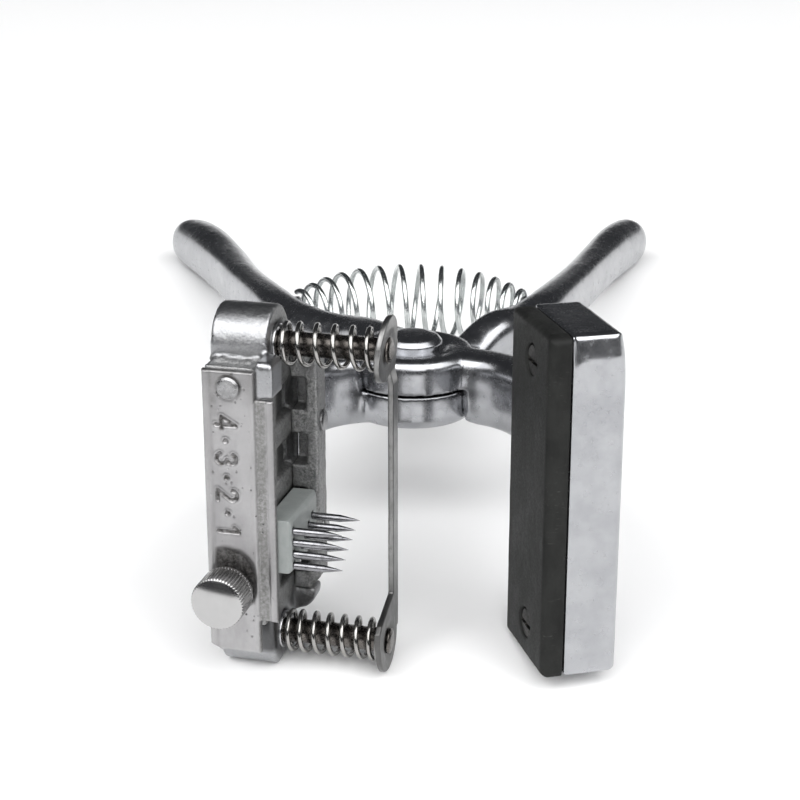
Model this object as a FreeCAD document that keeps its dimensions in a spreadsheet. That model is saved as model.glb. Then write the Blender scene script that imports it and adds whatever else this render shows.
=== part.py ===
import FreeCAD, Part
import Sketcher
import math
import os

from FreeCAD import Placement, Rotation, Vector

os.makedirs("parts", exist_ok=True)
doc = FreeCAD.newDocument("tattoo_pliers")

# ---------------------------------------------------------------- driving dimensions (mm, degrees)
# Design frame: pivot axis = Z, lap plane = Z 0, X to the right, Y away from the jaws.
# Each half is drawn in its closed pose (jaw faces parallel) and turned by half_angle to the open pose.
sheet = doc.addObject("Spreadsheet::Sheet", "Dims")
DIMS = [
    ("half_angle", 14.3), ("tilt_back", 8.46), ("rest_level", -26.07),
    ("boss_rad", 12.5), ("boss_top", 7.1), ("boss_low", 7.0), ("lap_gap", 0.15),
    ("pin_rad", 3.0), ("pin_clear", 0.05), ("pin_head_rad", 6.0), ("pin_top", 9.9), ("dish_floor", 6.2),
    ("jaw_front", -68.7), ("jaw_back", -48.4), ("jaw_low", -32.9), ("jaw_top", 27.9),
    ("pad_face", 4.7), ("pad_thick", 4.0), ("block_thick", 9.7), ("pad_bevel", 0.8),
    ("pad_hole_rad", 2.7), ("pad_screw_rad", 1.3), ("pad_screw_head_rad", 2.5),
    ("floor_x", -8.9), ("spine_left", -18.5), ("spine_front", -67.5), ("spine_back", -46.8),
    ("spine_low", -24.0), ("spine_high", 22.0),
    ("plate_left", -18.6), ("plate_right", -6.5), ("panel_right", -9.6), ("plate_low", -28.5),
    ("flange_low", -22.6), ("flange_high", 17.0), ("plate_high", 21.8),
    ("flange_thick", 0.7), ("plate_thick", 1.2), ("plate_rivet_x", -14.0), ("plate_rivet_z", 19.0),
    ("small_rivet_rad", 1.2), ("small_head_rad", 1.9), ("small_head_high", 0.7),
    ("wall_front", -51.7), ("wall_right", -4.0), ("wall_low", -23.7), ("wall_high", 21.0),
    ("window_left", -9.7), ("window_right", -6.2), ("window_low", -20.4), ("window_high", -14.6), ("window_pitch", 10.1), ("window_deep", 4.0),
    ("lug_left", -18.9), ("lug_recess", -16.3), ("lug_right", -9.0), ("lug_rad", 6.3), ("rod_y", -57.0), ("rod_high", 23.7), ("rod_low", -29.1),
    ("rod_rad", 2.1), ("bush_bore", 2.15), ("bush_rad", 3.3), ("bush_end", -8.7),
    ("leaf_x", 9.0), ("leaf_thick", 1.0), ("paddle_rad", 5.7), ("strip_front", -53.9), ("strip_back", -50.5),
    ("tenon_rad", 1.5), ("tenon_head_rad", 2.25), ("tenon_head_high", 0.6), ("rod_end", -18.4),
    ("cup_rad", 4.2), ("cup_thick", 0.7), ("ring_rad", 3.6), ("ring_thick", 1.0), ("ring_gap", 0.2),
    ("rel_wire", 0.85), ("rel_mean_rad", 3.4), ("rel_turns", 7.25), ("rel_turns_upper", 6.2),
    ("digit_left", -8.6), ("digit_right", -4.2), ("digit_front", -67.2), ("digit_back", -52.0),
    ("lip_left", -9.5), ("lip_right", -6.6), ("lip_front", -68.1), ("lip_back", -62.4), ("lip_low", 17.05), ("lip_high", 23.2),
    ("digit_low", -13.95), ("digit_high", -4.4), ("needle_rad", 0.65), ("needle_tip_x", 4.4), ("needle_cone", 3.4),
    ("screw_x", -14.8), ("screw_z", -16.8), ("screw_head_rad", 4.6), ("screw_head_long", 6.6), ("screw_head_y", -69.2),
    ("stud_rad", 1.6), ("stud_end_y", -57.5), ("stud_hole_rad", 1.95),
    ("ret_wire", 1.2), ("ret_turns", 13.5), ("ret_end_rad", 4.4), ("ret_mid_rad", 8.3), ("ret_half", 25.9),
    ("ret_y", 50.0), ("ret_bow", 7.0), ("seat_face", 26.2), ("seat_rad", 3.3), ("seat_high", 1.5), ("peg_rad", 2.0), ("peg_long", 4.0),
    ("washer_rad", 7.0), ("washer_thick", 0.8),
]
for row, (alias, value) in enumerate(DIMS, start=1):
    sheet.set("A%d" % row, alias)
    sheet.set("B%d" % row, repr(value))
    sheet.setAlias("B%d" % row, alias)
doc.recompute()
D = {alias: float(sheet.get(alias)) for alias, _ in DIMS}
Z = Vector(0, 0, 1)


# ---------------------------------------------------------------- helpers
def bind(obj, **props):
    for prop, value in props.items():
        if isinstance(value, str):
            obj.setExpression(prop, value)
        else:
            setattr(obj, prop, value)
    return obj


def e(text):
    # "a + b" over sheet aliases -> an expression on the sheet
    out = []
    for word in text.replace("(", " ( ").replace(")", " ) ").split():
        out.append("Dims." + word if word in D else word)
    return " ".join(out)


def val(text):
    words = text.replace("(", " ( ").replace(")", " ) ").split()
    total, sign = 0.0, 1.0
    for word in words:
        if word in "()":
            continue
        if word in "+-":
            sign = 1.0 if word == "+" else -1.0
        else:
            total += sign * (D[word] if word in D else float(word))
            sign = 1.0
    return total


AIM = {"+X": Rotation(Vector(0, 1, 0), 90), "-X": Rotation(Vector(0, 1, 0), -90),
       "+Y": Rotation(Vector(1, 0, 0), -90), "-Y": Rotation(Vector(1, 0, 0), 90),
       "+Z": Rotation(), "-Z": Rotation(Vector(1, 0, 0), 180)}


def cyl(name, radius, length, at, aim):
    c = doc.addObject("Part::Cylinder", name)
    bind(c, Radius=e(radius), Height=e(length))
    c.Placement = Placement(Vector(*[val(str(a)) for a in at]), AIM[aim])
    return c


def box(name, lo, hi):
    b = doc.addObject("Part::Box", name)
    lo, hi = [str(a) for a in lo], [str(a) for a in hi]
    bind(b, Length=e("%s - ( %s )" % (hi[0], lo[0])), Width=e("%s - ( %s )" % (hi[1], lo[1])), Height=e("%s - ( %s )" % (hi[2], lo[2])))
    b.Placement = Placement(Vector(*[val(a) for a in lo]), Rotation())
    return b


def fuse(name, objs):
    f = doc.addObject("Part::MultiFuse", name)
    f.Shapes = objs
    return f


def cut(name, base, tool):
    c = doc.addObject("Part::Cut", name)
    c.Base, c.Tool = base, tool
    return c


def group(name, objs):
    g = doc.addObject("Part::Compound", name)
    g.Links = objs
    return g


def body_of(name):
    return doc.addObject("PartDesign::Body", name)


def sketch(body, name, role, shift="0"):
    s = body.newObject("Sketcher::SketchObject", name)
    plane = [f for f in body.Origin.OriginFeatures if f.Role == role][0]
    s.AttachmentSupport = [(plane, "")]
    s.MapMode = "FlatFace"
    s.AttachmentOffset = Placement(Vector(0, 0, val(shift)), Rotation())
    if shift != "0":
        s.setExpression("AttachmentOffset.Base.z", e(shift))
    return s


def outline(s, points):
    # closed polygon; a corner given by words is bound to the sheet
    xy = [(val(str(x)), val(str(y))) for x, y in points]
    first = s.GeometryCount
    n = len(xy)
    for i in range(n):
        a, b = xy[i], xy[(i + 1) % n]
        s.addGeometry(Part.LineSegment(Vector(a[0], a[1], 0), Vector(b[0], b[1], 0)), False)
    for i in range(n):
        s.addConstraint(Sketcher.Constraint("Coincident", first + i, 2, first + (i + 1) % n, 1))
    for i in range(n):
        for k, kind in enumerate(("DistanceX", "DistanceY")):
            word = str(points[i][k])
            c = s.addConstraint(Sketcher.Constraint(kind, -1, 1, first + i, 1, xy[i][k]))
            if any(w in D for w in word.split()):
                s.setExpression("Constraints[%d]" % c, e(word))
    return s


def ring(s, x, y, radius):
    g = s.addGeometry(Part.Circle(Vector(val(x), val(y), 0), Z, val(radius)), False)
    for kind, word in (("DistanceX", x), ("DistanceY", y)):
        c = s.addConstraint(Sketcher.Constraint(kind, -1, 1, g, 3, val(word)))
        s.setExpression("Constraints[%d]" % c, e(word))
    c = s.addConstraint(Sketcher.Constraint("Radius", g, val(radius)))
    s.setExpression("Constraints[%d]" % c, e(radius))
    return s


def pad(body, name, s, length):
    p = body.newObject("PartDesign::Pad", name)
    p.Profile = s
    p.setExpression("Length", e(length))
    s.Visibility = False
    body.Tip = p
    return p


def turned(name, profile, at=(0, 0, 0), aim="+Z"):
    # a turned piece: half profile (radius, height) turned about its own Z axis, then aimed
    b = body_of(name)
    s = outline(sketch(b, name + "_profile", "XZ_Plane"), profile)
    r = b.newObject("PartDesign::Revolution", name + "_turn")
    r.Profile = s
    r.ReferenceAxis = (s, ["V_Axis"])
    r.Angle = 360
    b.Tip = r
    b.Placement = Placement(Vector(*[val(str(a)) for a in at]), AIM[aim])
    return b


def oval(c, t, wide, high, power, count=24):
    t = Vector(t).normalize()
    side = Vector(-t.y, t.x, 0)
    pts = []
    for i in range(count):
        a = 2 * math.pi * i / count
        ca, sa = math.cos(a), math.sin(a)
        u = wide / 2 * math.copysign(abs(ca) ** (2 / power), ca)
        v = high / 2 * math.copysign(abs(sa) ** (2 / power), sa)
        pts.append(c + side * u + Z * v)
    curve = Part.BSplineCurve()
    curve.interpolate(pts, PeriodicFlag=True)
    return Part.Wire([curve.toShape()])


def lofted(name, stations):
    # stations: x, y, z, width, height, power
    pts = [Vector(p[0], p[1], p[2]) for p in stations]
    wires = []
    for i, p in enumerate(stations):
        a, b = pts[max(i - 1, 0)], pts[min(i + 1, len(pts) - 1)]
        t = b - a
        t.z = 0
        wires.append(oval(pts[i], t, p[3], p[4], p[5]))
    solid = Part.makeLoft(wires, True, False, False)
    f = doc.addObject("Part::Feature", name)
    f.Shape = solid
    return f


# ---------------------------------------------------------------- the two cast halves
# Stations of the anvil half in its closed pose: x, y, z, width, height, roundness.
HANDLE = [
    (0.6, 3.0, 3.0, 17.0, 7.4, 3.2), (-1.0, 9.0, 3.0, 15.0, 7.4, 3.2), (-2.8, 15.0, 3.0, 11.6, 7.4, 3.0),
    (-4.8, 21.0, 2.8, 9.6, 7.8, 2.8), (-7.0, 26.2, 1.6, 9.2, 9.0, 2.6), (-10.2, 31.2, 0.5, 9.2, 10.2, 2.5),
    (-13.4, 37.3, -0.1, 9.4, 11.2, 2.4), (-16.0, 45.3, -0.3, 9.5, 11.6, 2.3), (-17.8, 55.7, -0.5, 9.6, 12.0, 2.3),
    (-19.3, 67.9, -0.7, 9.7, 12.3, 2.3), (-20.6, 80.2, -0.9, 9.7, 12.4, 2.3), (-21.8, 98.0, -1.2, 9.9, 12.2, 2.2),
    (-23.0, 115.0, -1.5, 10.4, 12.0, 2.2), (-24.6, 129.0, -1.9, 11.2, 12.0, 2.1), (-25.6, 134.8, -2.1, 10.6, 11.4, 2.1),
    (-26.2, 138.4, -2.2, 8.0, 8.8, 2.0), (-26.5, 140.0, -2.2, 4.4, 4.8, 2.0), (-26.55, 140.35, -2.2, 1.4, 1.5, 2.0),
]
ARM = [
    (0.5, 0.5, -0.3, 12.0, 14.4, 4.0), (5.0, -3.4, -0.3, 11.0, 14.4, 4.0), (10.0, -6.6, -0.3, 10.0, 14.4, 4.0),
    (14.6, -11.0, -0.3, 9.2, 14.4, 4.0), (17.6, -17.5, -0.3, 9.0, 14.4, 4.0), (18.7, -26.0, -0.3, 9.0, 14.4, 4.0),
    (17.8, -35.0, -0.3, 9.0, 14.4, 4.0), (15.4, -43.0, -0.3, 8.6, 14.4, 4.0), (13.4, -49.0, -0.3, 8.0, 14.4, 4.0),
    (12.9, -54.0, -0.3, 7.6, 13.6, 4.0),
]



def mirrored(stations, low):
    # the other half: X reversed, and the first stations, which lie in the lap, moved under the lap plane
    return [(-p[0], p[1], -p[2] if i < low else p[2]) + p[3:] for i, p in enumerate(stations)]


# boss of the anvil half: a dished collar around the pivot head, above the lap plane
anvil_boss = turned("anvil_boss", [("0", "lap_gap"), ("boss_rad", "lap_gap"), ("boss_rad", "boss_top - 1.5"), ("boss_rad - 1.3", "boss_top"),
                                   ("boss_rad - 2.6", "boss_top"), ("pin_head_rad + 1.6", "dish_floor + 0.4"), ("pin_head_rad + 0.8", "dish_floor"), ("0", "dish_floor")])
anvil_arm = lofted("anvil_arm", ARM)
anvil_grip = lofted("anvil_grip", HANDLE)
block = body_of("jaw_block")
block_pad = pad(block, "jaw_block_pad", outline(sketch(block, "jaw_block_face", "YZ_Plane", "pad_face + pad_thick"),
                [("jaw_front", "jaw_low"), ("jaw_back", "jaw_low"), ("jaw_back", "jaw_top"), ("jaw_front", "jaw_top")]), "block_thick")
doc.recompute()


def edges_where(shape, test):
    return ["Edge%d" % (i + 1) for i, ed in enumerate(shape.Edges) if test(ed)]


def along(ed, axis, tol=1e-3):
    a, b = ed.Vertexes[0].Point, ed.Vertexes[-1].Point
    d = b - a
    return d.Length > 1e-6 and abs(abs(d.dot(axis)) - d.Length) < tol


block_edge = block.newObject("PartDesign::Chamfer", "jaw_block_edge")
block_edge.Base = (block_pad, edges_where(block_pad.Shape, lambda ed: along(ed, Z) and ed.CenterOfMass.x > 16 and ed.CenterOfMass.y < -60))
block_edge.Size = 1.0
block.Tip = block_edge

# lap tool: everything of this half under the lap plane inside the joint, so the other half swings there
lap_disc = cyl("lap_disc", "boss_rad + 0.9", "12.0 + lap_gap", ("0", "0", "-12.0"), "+Z")
lap_cross = box("lap_cross", ("-16.0", "2.0", "-12.0"), ("6.0", "22.5", "lap_gap"))
lap_tool = fuse("lap_tool", [lap_disc, lap_cross])
anvil_bore = cyl("anvil_bore", "pin_rad + pin_clear", "20.0", ("0", "0", "-10.0"), "+Z")
pad_hole_zs = ("21.5", "-26.5")
anvil_screw_holes = [cyl("anvil_screw_hole_%d" % i, "pad_screw_rad", "6.0", ("pad_face + pad_thick - 0.5", "-59.2", z), "+X") for i, z in enumerate(pad_hole_zs)]


def spot(name, side, ang):
    # flat seat and peg hole for the return spring, drawn in the open pose and turned back into the half's closed pose
    x = -1 if side < 0 else 1
    aim = "+X" if side < 0 else "-X"
    face = cyl(name + "_face", "5.9", "9.0", (str(x * D["seat_face"]), "ret_y", "0"), aim)
    hole = cyl(name + "_hole", "peg_rad", "peg_long + 1.0", (str(x * (D["seat_face"] + D["peg_long"])), "ret_y", "0"), aim)
    f = fuse(name, [face, hole])
    f.Placement = Placement(Vector(), Rotation(Z, ang))
    return f


anvil_spot = spot("anvil_spot", -1, -D["half_angle"])
anvil_arm_lapped = cut("anvil_arm_lapped", anvil_arm, lap_tool)
anvil_grip_lapped = cut("anvil_grip_lapped", anvil_grip, lap_tool)
anvil_solid = fuse("anvil_solid", [anvil_boss, anvil_arm_lapped, anvil_grip_lapped, block])
dish_keep = cyl("dish_keep", "pin_head_rad + 1.0", "6.0", ("0", "0", "dish_floor"), "+Z")
anvil_dished = cut("anvil_dished", anvil_solid, fuse("anvil_bores", [anvil_bore, dish_keep]))
anvil_drilled = cut("anvil_drilled", anvil_dished, fuse("anvil_drills", anvil_screw_holes))
anvil_half_casting = cut("anvil_half_casting", anvil_drilled, anvil_spot)

# digit half: the same arm and handle on the other side, with the jaw spine and the two lugs
digit_boss = turned("digit_boss", [("0", "0 - lap_gap"), ("boss_rad", "0 - lap_gap"), ("boss_rad", "1.2 - boss_low"), ("boss_rad - 1.2", "0 - boss_low"), ("0", "0 - boss_low")])
digit_arm = lofted("digit_arm", mirrored(ARM, 0))
digit_grip = lofted("digit_grip", mirrored(HANDLE, 5))
spine = body_of("jaw_spine")
spine_pad = pad(spine, "jaw_spine_pad", outline(sketch(spine, "jaw_spine_face", "XZ_Plane", "0 - spine_back"),
                [("spine_left", "spine_low"), ("floor_x", "spine_low"), ("floor_x", "spine_high"), ("spine_left", "spine_high")]), "spine_back - spine_front")
doc.recompute()
spine_edge = spine.newObject("PartDesign::Fillet", "jaw_spine_edge")
spine_edge.Base = (spine_pad, edges_where(spine_pad.Shape, lambda ed: along(ed, Z) and ed.CenterOfMass.x < -17 and ed.CenterOfMass.y > -50))
spine_edge.Radius = 2.5
spine.Tip = spine_edge
lug_parts = []
for tag, rod, lo, hi in (("upper", "rod_high", "16.0", "rod_high"), ("lower", "rod_low", "rod_low", "-23.0")):
    lug_parts.append(cyl(tag + "_lug_round", "lug_rad", "lug_right - lug_left", ("lug_left", "rod_y", rod), "+X"))
    lug_parts.append(box(tag + "_lug_web", ("lug_left", "rod_y - lug_rad", lo), ("lug_right", "rod_y + lug_rad", hi)))
lower_web = cyl("lower_web", "3.6", "4.5", ("floor_x + 0.2", "spine_back", "spine_low - 0.4"), "-Y")
wall_room = box("wall_room", ("floor_x", "wall_front - 1.0", "wall_low - 0.05"), ("wall_right + 1.0", "spine_back + 1.0", "wall_high"))
lug_parts.append(cut("lower_web_trimmed", lower_web, wall_room))
# the channel is closed at its upper end by a lip below the upper lug, level with the flange of the front plate
lip_block = box("upper_lip_block", ("lip_left", "lip_front", "lip_low"), ("lip_right", "lip_back", "lip_high"))
lip_edge = doc.addObject("Part::Fillet", "upper_lip")
lip_edge.Base = lip_block
doc.recompute()
lip_edge.Edges = [(i + 1, 0.9, 0.9) for i, ed in enumerate(lip_block.Shape.Edges) if ed.CenterOfMass.z > D["lip_high"] - 0.1 and (ed.CenterOfMass.x > D["lip_right"] - 0.1 or ed.CenterOfMass.y < D["lip_front"] + 0.1)]
lug_parts.append(lip_edge)
digit_lap = fuse("digit_lap", [cyl("digit_lap_disc", "boss_rad + 0.9", "12.0 + lap_gap", ("0", "0", "0 - lap_gap"), "+Z"),
                               box("digit_lap_cross", ("-6.0", "2.0", "0 - lap_gap"), ("16.0", "22.5", "12.0"))])
digit_arm_lapped = cut("digit_arm_lapped", digit_arm, digit_lap)
digit_grip_lapped = cut("digit_grip_lapped", digit_grip, digit_lap)
digit_solid = fuse("digit_solid", [digit_boss, digit_arm_lapped, digit_grip_lapped, spine] + lug_parts)
foot = box("foot_plane", ("-60.0", "-100.0", "-60.0"), ("60.0", "0.0", "rest_level"))
foot.Placement = Placement(Vector(), Rotation(Z, D["half_angle"])) * Placement(Vector(), Rotation(Vector(1, 0, 0), D["tilt_back"])) * foot.Placement
digit_bore = cyl("digit_bore", "pin_rad", "20.0", ("0", "0", "-10.0"), "+Z")
bush_holes = [cyl("bush_hole_%d" % i, "bush_rad", "lug_right - lug_left + 2.0", ("lug_left - 1.0", "rod_y", z), "+X") for i, z in enumerate(("rod_high", "rod_low"))]
ring_holes = [cyl("ring_hole_%d" % i, "ring_rad + 0.5", "lug_recess - lug_left + 3.0", ("lug_left - 3.0", "rod_y", z), "+X") for i, z in enumerate(("rod_high", "rod_low"))]
window_pockets = [box("window_pocket_%d" % i, ("window_left", "wall_front - 0.5", "window_low + %r" % (i * D["window_pitch"])), ("floor_x + 1.0", "wall_front + window_deep", "window_high + %r" % (i * D["window_pitch"]))) for i in range(4)]
stud_hole = cyl("stud_hole", "stud_hole_rad", "12.0", ("screw_x", "spine_front + 11.5", "screw_z"), "-Y")
front_rivet_hole = cyl("front_rivet_hole", "small_rivet_rad", "8.0", ("plate_rivet_x", "spine_front + 7.0", "plate_rivet_z"), "-Y")
wall_rivet_zs = ("7.6", "-12.5")
wall_rivet_holes = [cyl("wall_rivet_hole_%d" % i, "small_rivet_rad", "5.0", ("floor_x - 4.5", "-48.9", z), "+X") for i, z in enumerate(wall_rivet_zs)]
digit_spot = spot("digit_spot", 1, D["half_angle"])
washer_room = cyl("washer_room", "washer_rad + 0.1", "6.0", ("0", "0", "0 - boss_low"), "-Z")
digit_tools = fuse("digit_tools", [digit_bore, stud_hole, front_rivet_hole, digit_spot, washer_room] + wall_rivet_holes)
digit_footed = cut("digit_footed", digit_solid, foot)
digit_lugs = cut("digit_lugs", digit_footed, fuse("lug_bores", bush_holes + ring_holes))
digit_windows = cut("digit_windows", digit_lugs, fuse("window_pockets", window_pockets))
digit_half_casting = cut("digit_half_casting", digit_windows, digit_tools)


# ---------------------------------------------------------------- pivot
pivot_rivet = turned("pivot_rivet", [
    ("0", "-9.4"), ("3.2", "-9.2"), ("4.6", "-8.6"), ("5.2", "0 - boss_low - washer_thick"), ("pin_rad", "0 - boss_low - washer_thick"),
    ("pin_rad", "dish_floor + 0.1"), ("pin_head_rad", "dish_floor + 0.1"), ("pin_head_rad", "dish_floor + 1.2"), ("pin_head_rad - 0.7", "pin_top - 1.5"),
    ("pin_head_rad - 2.2", "pin_top - 0.5"), ("pin_head_rad - 4.2", "pin_top"), ("0", "pin_top")])
pivot_washer = cut("pivot_washer", cyl("washer_disc", "washer_rad", "washer_thick", ("0", "0", "0 - boss_low - washer_thick"), "+Z"),
                   cyl("washer_bore", "pin_rad", "washer_thick + 2.0", ("0", "0", "0 - boss_low - washer_thick - 1.0"), "+Z"))

# ---------------------------------------------------------------- anvil: rubber pad and its screws
rubber = body_of("rubber_block")
rubber_pad0 = pad(rubber, "rubber_pad_slab", outline(sketch(rubber, "rubber_face", "YZ_Plane", "pad_face"),
                  [("jaw_front", "jaw_low"), ("jaw_back", "jaw_low"), ("jaw_back", "jaw_top"), ("jaw_front", "jaw_top")]), "pad_thick")
doc.recompute()
rubber_edge = rubber.newObject("PartDesign::Chamfer", "rubber_edge")
rubber_edge.Base = (rubber_pad0, edges_where(rubber_pad0.Shape, lambda ed: ed.CenterOfMass.x < D["pad_face"] + 0.01))
rubber_edge.setExpression("Size", "Dims.pad_bevel")
rubber.Tip = rubber_edge
pad_holes = []
for i, z in enumerate(pad_hole_zs):
    pad_holes.append(cyl("pad_counterbore_%d" % i, "pad_hole_rad", "2.2", ("pad_face - 0.5", "-59.2", z), "+X"))
    pad_holes.append(cyl("pad_through_%d" % i, "pad_screw_rad", "6.0", ("pad_face - 0.5", "-59.2", z), "+X"))
rubber_pad = cut("rubber_pad", rubber, fuse("pad_holes", pad_holes))
pad_screws = group("pad_screws", [turned("pad_screw_%d" % i, [
    ("0", "0.3"), ("0.5", "0.0"), ("pad_screw_head_rad - 0.4", "0.0"), ("pad_screw_head_rad", "0.4"), ("pad_screw_head_rad", "1.1"),
    ("pad_screw_rad", "1.1"), ("pad_screw_rad", "7.4"), ("0", "7.4")], ("pad_face + 0.6", "-59.2", z), "+X") for i, z in enumerate(pad_hole_zs)])

# ---------------------------------------------------------------- digit holder
front = body_of("front_plate_body")
flange = pad(front, "front_flange", outline(sketch(front, "front_flange_face", "XZ_Plane", "0 - spine_front"), [
    ("plate_left", "plate_low + 1.0"), ("plate_left + 1.7", "plate_low"), ("panel_right", "plate_low"), ("panel_right", "flange_low"),
    ("plate_right", "flange_low"), ("plate_right", "flange_high"), ("panel_right", "flange_high"), ("panel_right", "plate_high"), ("plate_left", "plate_high")]), "flange_thick")
panel = pad(front, "front_panel", outline(sketch(front, "front_panel_face", "XZ_Plane", "0 - spine_front + flange_thick"), [
    ("plate_left", "plate_low + 1.0"), ("plate_left + 1.7", "plate_low"), ("panel_right", "plate_low"), ("panel_right", "plate_high"), ("plate_left", "plate_high")]), "plate_thick - flange_thick")
front_holes = fuse("front_holes", [cyl("front_stud_hole", "stud_hole_rad", "4.0", ("screw_x", "spine_front + 1.0", "screw_z"), "-Y"),
                                   cyl("front_rivet_clear", "small_rivet_rad", "4.0", ("plate_rivet_x", "spine_front + 1.0", "plate_rivet_z"), "-Y")])
front_plate = cut("front_plate", front, front_holes)
SMALL = [("0", "-6.0"), ("small_rivet_rad", "-6.0"), ("small_rivet_rad", "0.0"), ("small_head_rad", "0.0"), ("small_head_rad", "0.25"),
         ("small_head_rad - 0.4", "small_head_high - 0.15"), ("small_head_rad - 1.0", "small_head_high"), ("0", "small_head_high")]
front_plate_rivet = turned("front_plate_rivet", SMALL, ("plate_rivet_x", "spine_front - plate_thick", "plate_rivet_z"), "-Y")

wall = body_of("back_plate")
wall_pad = pad(wall, "back_plate_slab", outline(sketch(wall, "back_plate_face", "XZ_Plane", "0 - spine_back"), [
    ("floor_x", "wall_low"), ("wall_right - 2.0", "wall_low"), ("wall_right", "wall_low + 2.5"), ("wall_right", "wall_high"), ("floor_x", "wall_high")]), "spine_back - wall_front")
doc.recompute()
window = wall.newObject("PartDesign::Pocket", "window")
window.Profile = outline(sketch(wall, "window_face", "XZ_Plane", "0 - wall_front"), [
    ("window_left", "window_low"), ("window_right", "window_low"), ("window_right", "window_high"), ("window_left", "window_high")])
window.Type = "Length"
window.setExpression("Length", "Dims.window_deep")
wall.Tip = window
doc.recompute()
windows = wall.newObject("PartDesign::LinearPattern", "windows")
windows.Originals = [window]
windows.Direction = (window.Profile[0], ["V_Axis"])
windows.Occurrences = 4
windows.setExpression("Length", "3 * Dims.window_pitch")
wall.Tip = windows
doc.recompute()
if abs(wall_pad.Shape.Volume - windows.Shape.Volume - 4 * 2.7 * 5.8 * D["window_deep"]) > 1.0:
    raise SystemExit("windows not cut: %.2f %.2f" % (wall_pad.Shape.Volume, windows.Shape.Volume))
wall_rivet_clear = fuse("wall_rivet_clear", [cyl("wall_rivet_clear_%d" % i, "small_rivet_rad", "7.0", ("floor_x - 1.0", "-48.9", z), "+X") for i, z in enumerate(wall_rivet_zs)])
wall.Label = "back_plate_blank"
back_plate = cut("back_plate_cut", wall, wall_rivet_clear)
back_plate_rivets = group("back_plate_rivets", [turned("wall_rivet_%d" % i, [("0", "-8.6"), ("small_rivet_rad", "-8.6")] + SMALL[2:],
                          ("wall_right", "-48.9", z), "+X") for i, z in enumerate(wall_rivet_zs)])

# knurled clamping screw
teeth = 40
knurl = []
for i in range(teeth):
    for k, rad in ((0.0, D["screw_head_rad"]), (0.30, D["screw_head_rad"]), (0.5, D["screw_head_rad"] - 0.32), (0.8, D["screw_head_rad"] - 0.32)):
        a = 2 * math.pi * (i + k) / teeth
        knurl.append(Vector(rad * math.cos(a), rad * math.sin(a), 0))
grip = doc.addObject("Part::Feature", "screw_grip")
grip.Shape = Part.Face(Part.makePolygon(knurl + [knurl[0]])).extrude(Vector(0, 0, D["screw_head_long"] - 0.9))
grip.Placement = Placement(Vector(D["screw_x"], D["screw_head_y"] - 0.4, D["screw_z"]), AIM["-Y"])
cap = turned("screw_cap", [("0", "0.0"), ("screw_head_rad - 0.1", "0.0"), ("screw_head_rad - 0.1", "0.2"), ("screw_head_rad - 0.5", "0.5"), ("0", "0.5")],
             ("screw_x", "screw_head_y - screw_head_long + 0.5", "screw_z"), "-Y")
collar = cyl("screw_collar", "screw_head_rad - 0.6", "0.4", ("screw_x", "screw_head_y", "screw_z"), "-Y")
thumb_screw_head = fuse("thumb_screw_head", [grip, cap, collar])
thumb_screw_stud = turned("thumb_screw_stud", [("0", "0.0"), ("stud_rad - 0.5", "0.0"), ("stud_rad", "0.5"), ("stud_rad", "stud_end_y - screw_head_y"), ("0", "stud_end_y - screw_head_y")],
                          ("screw_x", "stud_end_y", "screw_z"), "-Y")

# digit: block with nine needles in the shape of a seven
digit = body_of("digit_body")
digit_pad = pad(digit, "digit_slab", outline(sketch(digit, "digit_face", "YZ_Plane", "digit_left"), [
    ("digit_front", "digit_low"), ("digit_back", "digit_low"), ("digit_back", "digit_high"), ("digit_front", "digit_high")]), "digit_right - digit_left")
doc.recompute()
digit_edge = digit.newObject("PartDesign::Chamfer", "digit_edge")
digit_edge.Base = (digit_pad, edges_where(digit_pad.Shape, lambda ed: ed.CenterOfMass.x > D["digit_right"] - 0.01))
digit_edge.Size = 0.5
digit.Tip = digit_edge
spots = [(-65.7, -12.65 + 2.083 * k) for k in range(4)] + [(-65.7 + 2.14 * k, -12.65 + 0.96 * k) for k in range(1, 6)]
holes, pins = [], []
for i, (y, z) in enumerate(spots):
    holes.append(cyl("needle_hole_%d" % i, "needle_rad", "5.0", ("digit_right - 3.2", repr(y), repr(z)), "+X"))
    pins.append(turned("needle_%d" % i, [("0", "0.0"), ("needle_rad", "0.0"), ("needle_rad", "needle_tip_x - needle_cone - digit_right + 3.2"),
                       ("needle_rad - 0.22", "needle_tip_x - needle_cone - digit_right + 4.6"), ("0", "needle_tip_x - digit_right + 3.2")],
                       ("digit_right - 3.2", repr(y), repr(z)), "+X"))
digit_block = cut("digit_block", digit, fuse("needle_holes", holes))
digit_needles = group("digit_needles", pins)

# ---------------------------------------------------------------- ear release
bushes = {}
for tag, z in (("upper", "rod_high"), ("lower", "rod_low")):
    bushes[tag] = cut(tag + "_plunger_bush", cyl(tag + "_bush_tube", "bush_rad", "bush_end - lug_recess", ("lug_recess", "rod_y", z), "+X"),
                      cyl(tag + "_bush_bore", "bush_bore", "bush_end - lug_recess + 2.0", ("lug_recess - 1.0", "rod_y", z), "+X"))
plungers = {tag: turned(tag + "_plunger", [
    ("0", "0.0"), ("rod_rad - 0.5", "0.0"), ("rod_rad", "0.5"), ("rod_rad", "leaf_x - rod_end"), ("tenon_rad", "leaf_x - rod_end"), ("tenon_rad", "leaf_x - rod_end + leaf_thick"),
    ("tenon_head_rad", "leaf_x - rod_end + leaf_thick"), ("tenon_head_rad - 0.5", "leaf_x - rod_end + leaf_thick + tenon_head_high"), ("0", "leaf_x - rod_end + leaf_thick + tenon_head_high")],
    ("rod_end", "rod_y", z), "+X") for tag, z in (("upper", "rod_high"), ("lower", "rod_low"))}
leaf = body_of("release_leaf")
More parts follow.
